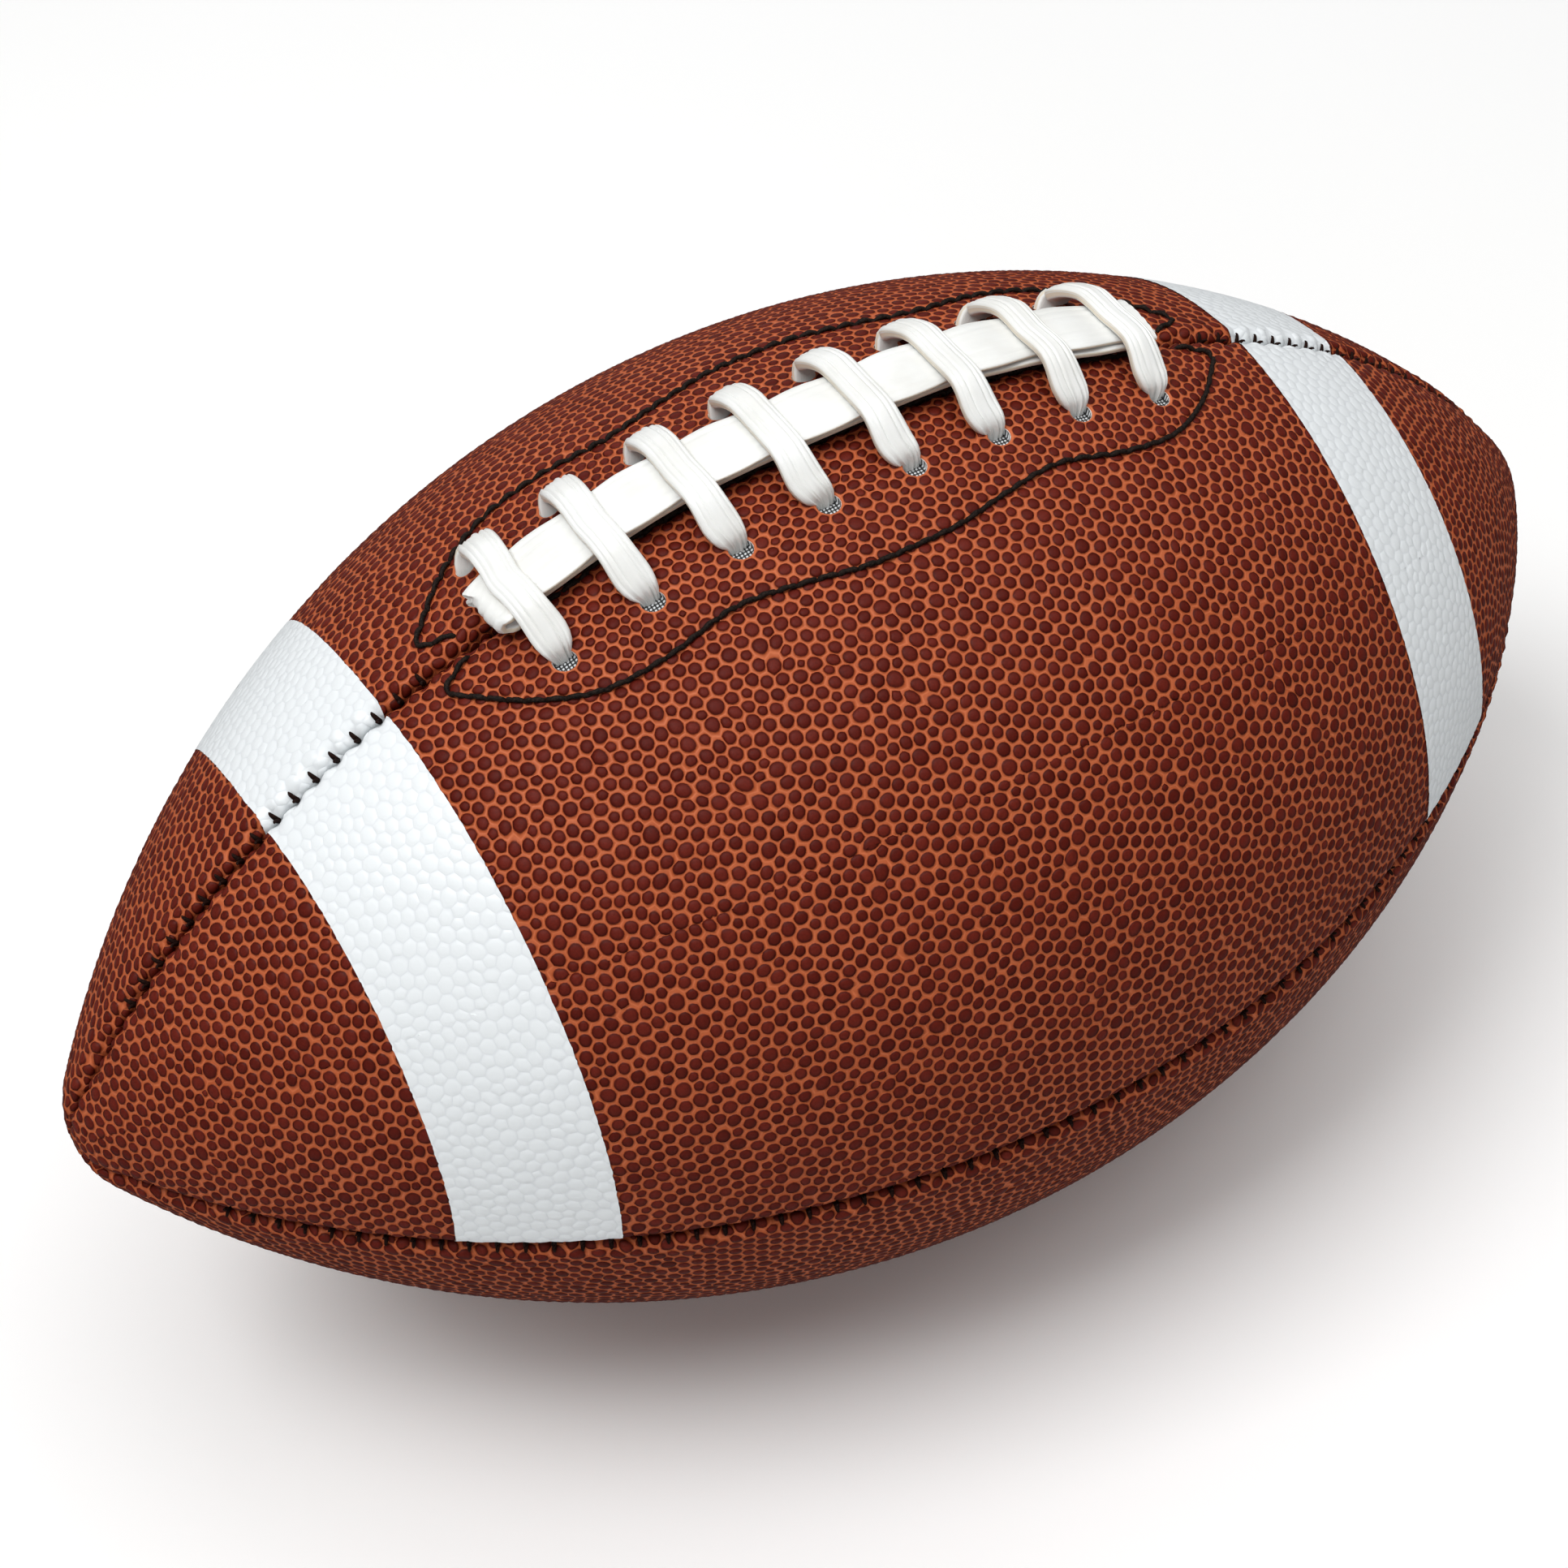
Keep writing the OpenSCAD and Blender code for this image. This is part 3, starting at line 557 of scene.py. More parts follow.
# The stitches pull the edge down and it puffs out between them, this much either way about a line that
# lies a little below the sheet, in a band at this place in from the seam and this wide
PUCKER, PUCKER_SINK = 0.42, 0.25
PUCKER_PLACE, PUCKER_WIDTH = 0.6, 1.6
# One edge of a seam stands over the other, in a band this wide
LIFT_WIDTH = 3.2
# The slit's edges stand apart, which eases off into the panel over this width
GAPE_WIDTH = 5.0
# No point is turned about less than this radius, so that nothing is divided by zero at the noses
LEAST_RADIUS = 0.4


def at_nose(r, least):
    """1 along the ball, falling towards least where its radius gets small at the noses."""
    return np.clip(r / FULL_ROLL_RADIUS, least, 1.0)


class Sheet:
    """The flat pattern of one panel: t runs along the ball and u across the panel from its middle.
    Its edges roll into the seams, so that the sheet is a little wider than the panel."""

    def __init__(self, first_seam, roll):
        self.middle_turn = first_seam + QUARTER / 2
        self.first_seam = first_seam
        self.roll = roll
        # the lower panels' edges stand over the upper ones' at the waist, and the back's at the top
        upper = abs(self.middle_turn) < QUARTER
        self.waist_lift, self.waist_pucker = (0.0, 0.2) if upper else (0.55, 0.85)
        self.top_lift = 0.45 if self.middle_turn < 0 else -0.15

    def roll_at(self, r):
        """Radius of the rolled edge where the ball's radius is r."""
        return self.roll * at_nose(r, 0.06)

    def half_width(self, r):
        """Half of the sheet's width where its seam walls end."""
        roll = self.roll_at(r)
        return (r * QUARTER / 2 - ROLL_END * roll + roll * math.asin(ROLL_END)
                + WALL_DEPTH * at_nose(r, 0.1))

    def surface(self, t, u, height):
        """Points at (t, u) and the height over the sheet; t and u are arrays of mm."""
        x, r, lean = profile(t)
        roll = self.roll_at(r)
        side = np.where(u < 0, -1.0, 1.0)
        inset = r * QUARTER / 2 - np.abs(u)
        start = ROLL_END * roll
        end_angle = math.asin(ROLL_END)
        beta = np.clip((start - inset) / roll, 0, end_angle)
        wall = np.maximum((start - inset) - roll * end_angle, 0)
        lateral = np.where(inset > start, inset, start - roll * np.sin(beta))
        depth = roll * (1 - np.cos(beta)) + wall
        tilt = np.where(wall > 0, math.pi / 2, beta)
        lateral = lateral - height * np.sin(tilt)
        rise = height * np.cos(tilt) - depth
        # stitches pull the edge down, and it puffs out between them
        seam = self.first_seam + np.where(side > 0, QUARTER, 0.0)
        at_waist = np.abs(np.abs(seam) - QUARTER) < 1e-6
        at_top = np.abs(seam) < 1e-6
        pull = np.cos(2 * math.pi * t / STITCH_PITCH) * np.where(at_waist, self.waist_pucker, 1.0)
        edge = np.exp(-((inset - PUCKER_PLACE) / PUCKER_WIDTH) ** 2) * at_nose(r, 0)
        rise = rise + edge * (PUCKER * pull - PUCKER_SINK)
        # of the two edges of a seam, one stands over the other
        past_slit = smooth(np.abs(x), SLIT_HALF_LENGTH - 2, SLIT_HALF_LENGTH + 6)
        lift = np.where(at_waist, self.waist_lift, np.where(at_top, self.top_lift * past_slit, 0.0))
        rise = rise + lift * np.exp(-(inset / LIFT_WIDTH) ** 2) * at_nose(r, 0)
        # the slit's edges stand apart
        in_slit = 1 - smooth(np.abs(x), SLIT_HALF_LENGTH - 3, SLIT_HALF_LENGTH + 1)
        gape = (SLIT_HALF_GAP - SEAM_HALF_GAP) * in_slit * np.exp(-np.maximum(inset, 0) / GAPE_WIDTH)
        lateral = lateral + np.where(at_top, gape, 0.0) + SEAM_HALF_GAP
        turn = self.middle_turn + side * (QUARTER / 2 - lateral / np.maximum(r, LEAST_RADIUS))
        return place(x, r, lean, turn, rise)


def conformal(t):
    """The Mercator map of the profile: its steps along match its steps round, at every t."""
    fine = np.linspace(0, PROFILE_END + PIT_DEPTH, 4000)
    r = profile(fine)[1]
    total = np.concatenate([[0], np.cumsum(np.diff(fine) * (1 / r[1:] + 1 / r[:-1]) / 2)])
    return np.sign(t) * np.interp(np.abs(t), fine, total)


# Shares of the pebbles' pitch: the space between rows, how far sites stray from them, how close two may
# be, and the space that they keep from the sheet's edge
ROW_SPACE = 0.86
SITE_STRAY = 0.3
LEAST_GAP = 0.6
EDGE_SPACE = 0.3
# How much the pebbles' sizes vary, and how many times neighbours push each other apart
SIZE_SPREAD = 0.08
RELAX_STEPS = 12
# Sites run this far past the profile's end
PAST_END = 0.6


def scatter(sheet, pitch, fixed, clear_of, rng):
    """Sites of the pebbles on a sheet: even but not regular, like a natural grain."""
    rows = np.arange(-PROFILE_END - PAST_END, PROFILE_END + PAST_END, ROW_SPACE * pitch)
    sites = []
    for k, t in enumerate(rows):
        w = float(sheet.half_width(profile(np.array(t))[1]))
        n = max(1, round(2 * w / pitch))
        u = (np.arange(n) + 0.5 + 0.5 * (k % 2) - 0.25) / n * 2 * w - w
        sites.append(np.stack([np.full(n, t), u], axis=1))
    sites = np.concatenate(sites)
    sites += rng.normal(0, SITE_STRAY * pitch, sites.shape)
    size = np.concatenate([rng.normal(1.0, SIZE_SPREAD, len(sites)), np.ones(len(fixed))])
    for step in range(RELAX_STEPS):
        everyone = np.concatenate([keep_inside(sheet, sites, pitch, clear_of), fixed])
        if step % 3 == 0:
            pairs = np.unique(triangle_sides(triangles_of(everyone)), axis=0)
        sites = everyone[:len(sites)] + pushed_apart(everyone, pairs, size, pitch)[:len(sites)]
    sites = keep_inside(sheet, sites, pitch, clear_of)
    # of the sites that still lie too close together, the first one stays
    everyone = np.concatenate([fixed, sites])
    tree = kdtree.KDTree(len(everyone))
    for k, p in enumerate(everyone):
        tree.insert((p[0], p[1], 0), k)
    tree.balance()
    alone = [min(k for _, k, _ in tree.find_range((p[0], p[1], 0), LEAST_GAP * pitch)) == n + len(fixed)
             for n, p in enumerate(sites)]
    return sites[alone]


def pushed_apart(points, pairs, size, pitch):
    """How far each site moves when neighbours that crowd each other push, in one step."""
    radius = profile(points[:, 0])[1]
    turn = points[:, 1] / radius
    i, j = pairs.T
    between = (radius[i] + radius[j]) / 2
    gap = np.stack([points[i, 0] - points[j, 0], between * (turn[i] - turn[j])], axis=1)
    d = np.maximum(np.linalg.norm(gap, axis=1), 1e-6)
    # they push while they are nearer than a little over the pitch, each by a third of what lacks
    reach = 1.1 * pitch * (size[i] + size[j]) / 2
    push = 0.35 * np.clip(reach - d, 0, pitch)[:, None] * gap / d[:, None]
    moves = np.zeros_like(points)
    np.add.at(moves, i, push)
    np.add.at(moves, j, -push)
    return moves


def keep_inside(sheet, sites, pitch, clear_of):
    """The same sites, none of them in a hole or off the sheet."""
    sites = sites.copy()
    for centre, radius in clear_of:
        away = sites - centre
        d = np.linalg.norm(away, axis=1)
        inside = d < radius
        sites[inside] = centre + away[inside] / d[inside, None] * radius
    sites[:, 0] = np.clip(sites[:, 0], -PROFILE_END - PAST_END, PROFILE_END + PAST_END)
    w = sheet.half_width(profile(sites[:, 0])[1]) - EDGE_SPACE * pitch
    sites[:, 1] = np.clip(sites[:, 1], -w, w)
    return sites


def border(sheet, pitch):
    """Sites outside the sheet's edge, which close the net of cells and get no pebble themselves."""
    t = np.arange(-PROFILE_END - PIT_DEPTH, PROFILE_END + PIT_DEPTH, 0.8 * pitch)
    w = sheet.half_width(profile(t)[1]) + 0.5 * pitch
    ends = np.linspace(-1, 1, 5)
    w_end = float(sheet.half_width(profile(np.array(PROFILE_END))[1])) + 0.3 * pitch
    caps = [(s * (PROFILE_END + PIT_DEPTH), e * w_end) for s in (-1, 1) for e in ends]
    return np.concatenate([np.stack([t, w], 1), np.stack([t, -w], 1), np.array(caps)])


def hole_sites(name, hole_radius, valve_radius):
    """Centres and radii, on the sheet, of the holes through one panel."""
    if name == "lower_back":
        return [((0.0, 0.0), valve_radius)]
    if name == "lower_front":
        return []
    holes = []
    side = SIDES[name.removeprefix("upper_")]
    for i in range(LACE_COUNT):
        t = arc_at(hole_x(i, side))
        r = float(profile(np.array(t))[1])
        holes.append(((t, side * (HOLE_OFFSET - r * QUARTER / 2)), hole_radius))
    return holes


def around(centre, radius, count):
    """Points evenly round a centre."""
    turns = 2 * math.pi * (np.arange(count) + 0.3) / count
    return centre + radius * np.stack([np.cos(turns), np.sin(turns)], axis=1)


def triangles_of(points):
    """Delaunay triangles of sites on the sheet, all turned the same way, found where the sheet is flat."""
    radius = profile(points[:, 0])[1]
    flat = np.stack([conformal(points[:, 0]), points[:, 1] / radius], axis=1)
    result = geometry.delaunay_2d_cdt([Vector(p) for p in flat], [], [], 0, 1e-9)
    origin = [o[0] if o else -1 for o in result[3]]
    tri = np.array([[origin[c] for c in f] for f in result[2]])
    tri = tri[(tri >= 0).all(axis=1)]
    p = points[tri]
    area = ((p[:, 1, 0] - p[:, 0, 0]) * (p[:, 2, 1] - p[:, 0, 1])
            - (p[:, 2, 0] - p[:, 0, 0]) * (p[:, 1, 1] - p[:, 0, 1]))
    tri[area > 0] = tri[area > 0][:, ::-1]
    return tri


def triangle_sides(tri):
    """The two ends of each side of each triangle, the lower number first."""
    return np.sort(np.concatenate([tri[:, [0, 1]], tri[:, [1, 2]], tri[:, [2, 0]]]), axis=1)


# A pebble's brink lies this share of the way out to its valley, and at this U on the Pebble map
BRINK_SHARE = 0.785
BRINK = 0.76
# A brink is part round and part like its cell, its corners are held back, and it stays inside the cell
ROUNDNESS = 0.6
CORNER_SHARE = 0.88
FARTHEST_BRINK = 0.9
# Depths as shares of the relief: a brink's below its pebble's middle, and the valley's round a hole
BRINK_DEPTH = 0.3
RIM_DEPTH = 0.4
# How much the brinks' sizes and depths vary
BRINK_SPREAD, DEPTH_SPREAD = 0.05, 0.2
# Width of the smooth rim round a punched hole
RIM = 0.3


class Grain:
    """The mesh of a panel's grain: each site is the middle of one domed pebble, whose cell meets its
    neighbours' in the valleys. Points are (t, u) on the sheet with a height over it."""

    def __init__(self, sites, holes, ghosts, relief, rng):
        everyone = np.concatenate([sites, np.array([h[0] for h in holes]).reshape(-1, 2), ghosts])
        self.count, first_ghost = len(sites), len(sites) + len(holes)
        tri = triangles_of(everyone)
        tri = tri[(tri < first_ghost).any(axis=1)]
        edges, sides = self.shared_edges(tri)

        # places on the valleys: the middle of each triangle of the net, then one between each two
        corners = everyone[tri].mean(axis=1)
        valley = np.concatenate([corners, corners[sides].mean(axis=1)])
        valley_height = np.full(len(valley), -relief)
        self.rims = []
        for h, (centre, radius) in enumerate(holes):
            mine = np.concatenate([np.flatnonzero((tri == self.count + h).any(axis=1)),
                                   np.flatnonzero((edges == self.count + h).any(axis=1)) + len(tri)])
            away = valley[mine] - centre
            order = np.argsort(np.arctan2(away[:, 1], away[:, 0]))
            valley[mine] = centre + away / np.linalg.norm(away, axis=1, keepdims=True) * (radius + RIM)
            valley_height[mine] = -RIM_DEPTH * relief
            self.rims.append((mine[order] + self.count, np.array(centre), radius))

        # each end of each edge is a wedge of one cell, from one triangle's middle to the other's
        site = edges.T.reshape(-1)
        middle = np.tile(np.arange(len(edges)) + len(tri), 2)
        left, right = np.tile(sides, (2, 1)).T
        a, b = valley[left] - everyone[site], valley[right] - everyone[site]
        swap = a[:, 0] * b[:, 1] - a[:, 1] * b[:, 0] < 0
        left[swap], right[swap] = right[swap], left[swap]
        at_hole = np.tile(((edges >= self.count) & (edges < first_ghost)).any(axis=1), 2)
        own = site < self.count
        site, left, middle, right, at_hole = (v[own] for v in (site, left, middle, right, at_hole))
        keys = np.concatenate([np.stack([site, v], 1) for v in (left, middle, right)])
        brinks, where = np.unique(keys, axis=0, return_inverse=True)
        where = where.reshape(3, -1) + self.count + len(valley)
        # a brink is rounder than its cell, but stays inside it
        start, end = everyone[brinks[:, 0]], valley[brinks[:, 1]]
        reach = np.linalg.norm(end - start, axis=1)
        at_corner = brinks[:, 1] < len(tri)
        mean_reach = np.bincount(brinks[:, 0], reach * ~at_corner, self.count) / np.bincount(
            brinks[:, 0], ~at_corner, self.count)
        own_size = BRINK_SHARE * mean_reach * (1 + rng.normal(0, BRINK_SPREAD, self.count))
        wanted = (ROUNDNESS * own_size[brinks[:, 0]]
                  + (1 - ROUNDNESS) * reach * np.where(at_corner, CORNER_SHARE, 1) * BRINK_SHARE)
        share = np.minimum(wanted / reach, FARTHEST_BRINK)
        depth = BRINK_DEPTH * relief * (1 + rng.normal(0, DEPTH_SPREAD, self.count))

        self.points = np.concatenate([sites, valley, start + (end - start) * share[:, None]])
        self.heights = np.concatenate([np.zeros(self.count), valley_height, -depth[brinks[:, 0]]])
        self.faces, self.uv = [], []
        numbers = rng.random(self.count)
        left, middle, right = left + self.count, middle + self.count, right + self.count
        for s, a, b, c, va, vb, vc, hole in zip(site, *where, left, middle, right, at_hole):
            n = numbers[s]
            outer = (vc, vb, va) if hole else (vc, va)
            self.faces += [(s, b, a), (s, c, b), (a, b, c, *outer)]
            self.uv += [(0, n), (BRINK, n), (BRINK, n)] * 2 + [(BRINK, n)] * 3 + [(1, n)] * len(outer)
        self.slots = [LEATHER] * len(self.faces)

    @staticmethod
    def shared_edges(tri):
        """Each edge that two triangles share, as its two ends, and those two triangles."""
        edges, which, uses = np.unique(triangle_sides(tri), axis=0, return_inverse=True, return_counts=True)
        owner = np.tile(np.arange(len(tri)), 3)[np.argsort(which.reshape(-1), kind="stable")]
        first = np.concatenate([[0], np.cumsum(uses)[:-1]])[uses == 2]
        return edges[uses == 2], np.stack([owner[first], owner[first + 1]], axis=1)

    def used(self):
        """Points, heights and faces without the places that no face needs."""
        kept, corner = np.unique(np.concatenate([np.array(f) for f in self.faces]), return_inverse=True)
        faces, start = [], 0
        for f in self.faces:
            faces.append(corner[start:start + len(f)])
            start += len(f)
        return self.points[kept], self.heights[kept], faces

    def punch(self, rim, centre, radius, steps, floor_slot=None):
        """Carries a hole's rim down through rings of (radius change, height, material slot)."""
        ring, points, heights, start = list(rim), [], [], len(self.points)
        for change, height, slot in steps:
            away = self.points[rim] - centre
            away /= np.linalg.norm(away, axis=1, keepdims=True)
            points.append(centre + away * (radius + change))
            heights += [height] * len(rim)
            inner = list(range(start, start + len(rim)))
            start += len(rim)
            for k in range(len(rim)):
                n = (k + 1) % len(rim)
                self.add_face((ring[k], inner[k], inner[n], ring[n]), slot)
            ring = inner
        if floor_slot is not None:
            points.append(centre[None])
            heights.append(steps[-1][1])
            for k in range(len(rim)):
                self.add_face((ring[k], start, ring[(k + 1) % len(rim)]), floor_slot)
        self.points = np.concatenate([self.points, *points])
        self.heights = np.concatenate([self.heights, heights])

    def add_face(self, corners, slot):
        """A face of a hole, which lies in the valleys on the Pebble map."""
        self.faces.append(corners)
        self.slots.append(slot)
        self.uv += [(1, 0.5)] * len(corners)


# Material slots of a panel
LEATHER, EDGE, BACKING = 0, 1, 2
# Rings down a hole: change of its radius, height over the sheet, and material
LACE_HOLE_STEPS = [
    (0.0, -0.35, LEATHER), (-0.04, -0.5, EDGE), (-0.06, -1.5, BACKING), (-0.5, -1.7, BACKING),
]
VALVE_HOLE_STEPS = [(0.0, -0.3, LEATHER), (-0.05, -0.5, EDGE), (-0.05, -2.2, EDGE)]
VALVE_HOLE_RADIUS = 3.4
# Pebbles set evenly round each hole, and the free space beyond its edge, as a share of the pitch
RIM_NEIGHBOURS = 9
HOLE_SPACE = 1.15

# The black stitching pulls the cover down by this much, in a channel this wide
CHANNEL_DEPTH = 0.3
CHANNEL_WIDTH = 1.0

# The finished grain of each panel, which the stripes are copied from
GRAINS = {}


def panel_piece(name, sizes, colours, seed):
    """One cover panel, with its grain, rolled edges and punched holes."""
    pitch, relief = sizes.pebble / MM, sizes.relief / MM
    rng = np.random.default_rng(seed)
    sheet = Sheet(PANELS[name], sizes.roll / MM)
    holes = hole_sites(name, sizes.hole / MM, VALVE_HOLE_RADIUS)
    rim_sites = [around(np.array(c), radius + 0.5 * pitch, RIM_NEIGHBOURS) for c, radius in holes]
    fixed = np.concatenate(rim_sites) if rim_sites else np.zeros((0, 2))
    clear = [(np.array(c), radius + HOLE_SPACE * pitch) for c, radius in holes]
    sites = np.concatenate([scatter(sheet, pitch, fixed, clear, rng), fixed])
    cells = Grain(sites, holes, border(sheet, pitch), relief, rng)
    for rim, centre, radius in cells.rims:
        if name == "lower_back":
            cells.punch(rim, centre, radius, VALVE_HOLE_STEPS)
        else:
            cells.punch(rim, centre, radius, LACE_HOLE_STEPS, BACKING)
    points, heights, faces = cells.used()
    GRAINS[name] = (sheet, points, heights, faces, cells.uv)
    heights = heights + thread_channel(points, name)
    shape = sheet.surface(points[:, 0], points[:, 1], heights)
    obj = new_object("panel_" + name, shape, faces, cells.slots)
    add_map(obj, "Pebble", cells.uv)
    leather = material_of("pebbled composite leather", composite_leather, colours)
    edge = material_of("punched foam edge", cut_edge)
    backing = material_of("woven nylon reinforcement", woven_cloth, "woven nylon reinforcement", 0.55,
                          linear("D9DCDE"), linear("16181A"))
    finish_piece(obj, [leather, edge, backing], ["cover_panel_" + name])


def thread_channel(flat, name):
    """How far the black stitching round the lacing pulls the cover down, at each point."""
    sink = np.zeros(len(flat))
    if not name.startswith("upper"):
        return sink
    side = SIDES[name.removeprefix("upper_")]
    x, r, _ = profile(flat[:, 0])
    across = r * QUARTER / 2 + side * flat[:, 1]
    near = np.flatnonzero((np.abs(x) < OUTLINE_HALF_LENGTH + 4) & (across < OUTLINE_HALF_WIDTH + 4))
    d = np.full(len(near), np.inf)
    for stitch_x, stitch_across in outline_line(1.0):
        d = np.minimum(d, np.hypot(x[near] - stitch_x, across[near] - stitch_across))
    sink[near] = -CHANNEL_DEPTH * np.exp(-(d / CHANNEL_WIDTH) ** 2)
    return sink


class FOOTBALL_OT_panels(bpy.types.Operator):
    """Build the four pebbled cover panels"""

    bl_idname = "football.panels"
    bl_label = "Cover panels"

    def execute(self, context):
        scene = context.scene
        for seed, name in enumerate(PANELS):
            panel_piece(name, scene.ball_sizes, scene.ball_colours, seed + 5)
        return {"FINISHED"}


# Stripes

# The film fills the valleys in part
FILM_RELIEF = 0.2
FILM_HEIGHT = 0.06
# How far the middle of each stripe lies out from its ends at the seams, along the ball
STRIPE_BOW = {"front": -2.2, "back": 1.7}


class FOOTBALL_OT_stripes(bpy.types.Operator):
    """Cut the white stripes out of copies of the upper panels"""

    bl_idname = "football.stripes"
    bl_label = "Stripes"

    def execute(self, context):
        film = material_of("pressed white stripe film", stripe_film, context.scene.ball_colours)
        for side_name in SIDES:
            sheet, points, heights, faces, uv = GRAINS["upper_" + side_name]
            surface = sheet.surface(points[:, 0], points[:, 1], FILM_RELIEF * heights + FILM_HEIGHT)
            for end, end_name in ((-1, "left"), (1, "right")):
                # the cut is straight, so the mesh is unbent for it and bent again after it
                bow = STRIPE_BOW[side_name] * end
                straight = surface - bow_of(surface, bow)
                obj = new_object(f"stripe_film_{end_name}_{side_name}", straight, faces)
                add_map(obj, "Pebble", uv)
                select_only(obj)
                bpy.ops.object.mode_set(mode="EDIT")
                for x, keeps_outer in ((STRIPE_START, True), (STRIPE_END, False)):
                    bpy.ops.mesh.select_all(action="SELECT")
                    bpy.ops.mesh.bisect(plane_co=(end * x * MM, 0, 0), plane_no=(end, 0, 0),
                                        clear_inner=keeps_outer, clear_outer=not keeps_outer)
                bpy.ops.object.mode_set(mode="OBJECT")
                co = np.zeros(3 * len(obj.data.vertices))
                obj.data.vertices.foreach_get("co", co)
                co = co.reshape(-1, 3) / MM
                obj.data.vertices.foreach_set("co", ((co + bow_of(co, bow)) * MM).ravel())
                finish_piece(obj, [film], [f"stripe_{end_name}_{side_name}"])
        return {"FINISHED"}


def bow_of(points, bow):
    """How far along the ball each point of a stripe lies from where its edges would run straight."""
    turn = np.abs(np.arctan2(points[:, 1], points[:, 2] - BALL_RADIUS))
    share = 1 - ((turn - QUARTER / 2) / (QUARTER / 2)) ** 2
    return np.stack([bow * share, 0 * share, 0 * share], axis=1)


# Lacing

# Each side of a cross lace, from its crown down into its hole and under the cover: distance from the
# slit as a share of the holes', height, then width, thickness and pleating as shares of the lace's own
NEAR_SIDE = [
    (0.0, 5.5, 0.88, 0.9, 0.0), (0.22, 5.5, 0.88, 0.9, 0.0), (0.4, 5.3, 0.88, 0.9, 0.0),
    (0.53, 4.5, 0.9, 0.9, 0.02), (0.64, 3.45, 0.94, 0.95, 0.05), (0.74, 2.45, 0.96, 1.0, 0.2),
    (0.82, 1.75, 0.92, 1.05, 0.4), (0.88, 1.0, 0.82, 1.1, 0.65), (0.91, 0.0, 0.66, 1.05, 0.75),
    (0.93, -1.6, 0.52, 0.95, 0.5), (0.94, -3.4, 0.5, 0.9, 0.2), (0.93, -4.7, 0.75, 0.8, 0.0),
    (0.82, -5.05, 1.0, 0.66, 0.0),
]
FAR_SIDE = [
    (0.0, 5.5, 0.88, 0.9, 0.0), (0.24, 5.55, 0.88, 0.9, 0.0), (0.44, 5.5, 0.9, 0.95, 0.0),
    (0.6, 4.9, 0.92, 1.0, 0.0), (0.75, 4.1, 0.94, 1.1, 0.05), (0.9, 3.1, 0.95, 1.25, 0.15),
    (1.02, 2.1, 0.93, 1.3, 0.4), (1.08, 1.1, 0.84, 1.2, 0.6), (1.09, 0.2, 0.72, 1.1, 0.7),
    (1.05, -1.2, 0.54, 0.95, 0.5), (1.02, -3.0, 0.5, 0.9, 0.2), (0.97, -4.6, 0.75, 0.8, 0.0),
    (0.82, -5.05, 1.0, 0.66, 0.0),
]
# How far each cross lace's middle, near end and far end lie right of the line between its holes
CROSS_DRIFTS = [1.3, 0.5, 0.3, -0.2, -0.2, -0.2, 0.3, 0.4]
NEAR_LEANS = [0.3, -0.6, -0.8, -1.5, -1.4, -1.2, -0.5, -0.5]
FAR_LEANS = [3.2, 2.4, 2.2, 1.7, 1.7, 1.8, 2.8, 2.5]
# A lean has set in fully where the lace stands at the second of these heights, and not yet at the first
NEAR_LEAN_HEIGHTS = (-0.5, 3.0)
FAR_LEAN_HEIGHTS = (-1.2, 1.5)

# Heights over the cover of the runs beneath it, and of the two long runs along the slit
UNDER = -5.05
LOW_RUN, HIGH_RUN = 2.15, 3.8
# How far the edges of a cross lace curl down
CROSS_CURL = 0.25

# The lace's section: points round it, the powers that square it off, and the depth of its ribs
LACE_SIDES = 84
ACROSS_POWER = 0.75
UP_POWER, UP_POWER_TURNED = 0.52, 0.1
RIB_DEPTH = 0.19
# Lengthwise grooves of the lace and the pleats by its holes: place across it, from -1 to 1, and depth
GROOVES = [(-0.74, 0.24), (-0.4, 0.26), (-0.03, 0.16), (0.32, 0.26), (0.68, 0.18)]
PLEATS = [(-0.45, 0.6), (0.1, 0.75), (0.55, 0.55)]
# Their widths, and how far they wander sideways
GROOVE_WIDTH, GROOVE_WANDER = 0.06, 0.08
PLEAT_WIDTH, PLEAT_WANDER = 0.14, 0.1


def lace_ring(width, thickness, pleat, crown, phase, turned):
    """Offsets (sideways, up) of rings of the ribbed lace, from arrays with one number a ring."""
    a = (np.arange(LACE_SIDES) + 0.5) * 2 * math.pi / LACE_SIDES
    c, s = np.cos(a), np.sin(a)
    w, h, pleat, crown, phase, turned = (
        v[:, None] for v in (width / 2, thickness / 2, pleat, crown, phase, turned))
    across = np.sign(c) * np.abs(c) ** ACROSS_POWER
    up = np.sign(s) * np.abs(s) ** (UP_POWER + UP_POWER_TURNED * turned)
    flat = (1 - np.abs(across) ** 6) * (s > 0)
    shape = -RIB_DEPTH * turned * (1 - np.abs(np.sin(3 * math.pi * across + phase))) ** 2
    for middle, depth in GROOVES:
        away = (across - middle - GROOVE_WANDER * phase) / GROOVE_WIDTH
        shape = shape - depth * (1 - turned) * np.exp(-(away**2))
    for middle, depth in PLEATS:
        away = (across - middle - PLEAT_WANDER * phase) / PLEAT_WIDTH
        shape = shape - pleat * depth * np.exp(-(away**2))
    return w * across, h * up + shape * flat - crown * across**2


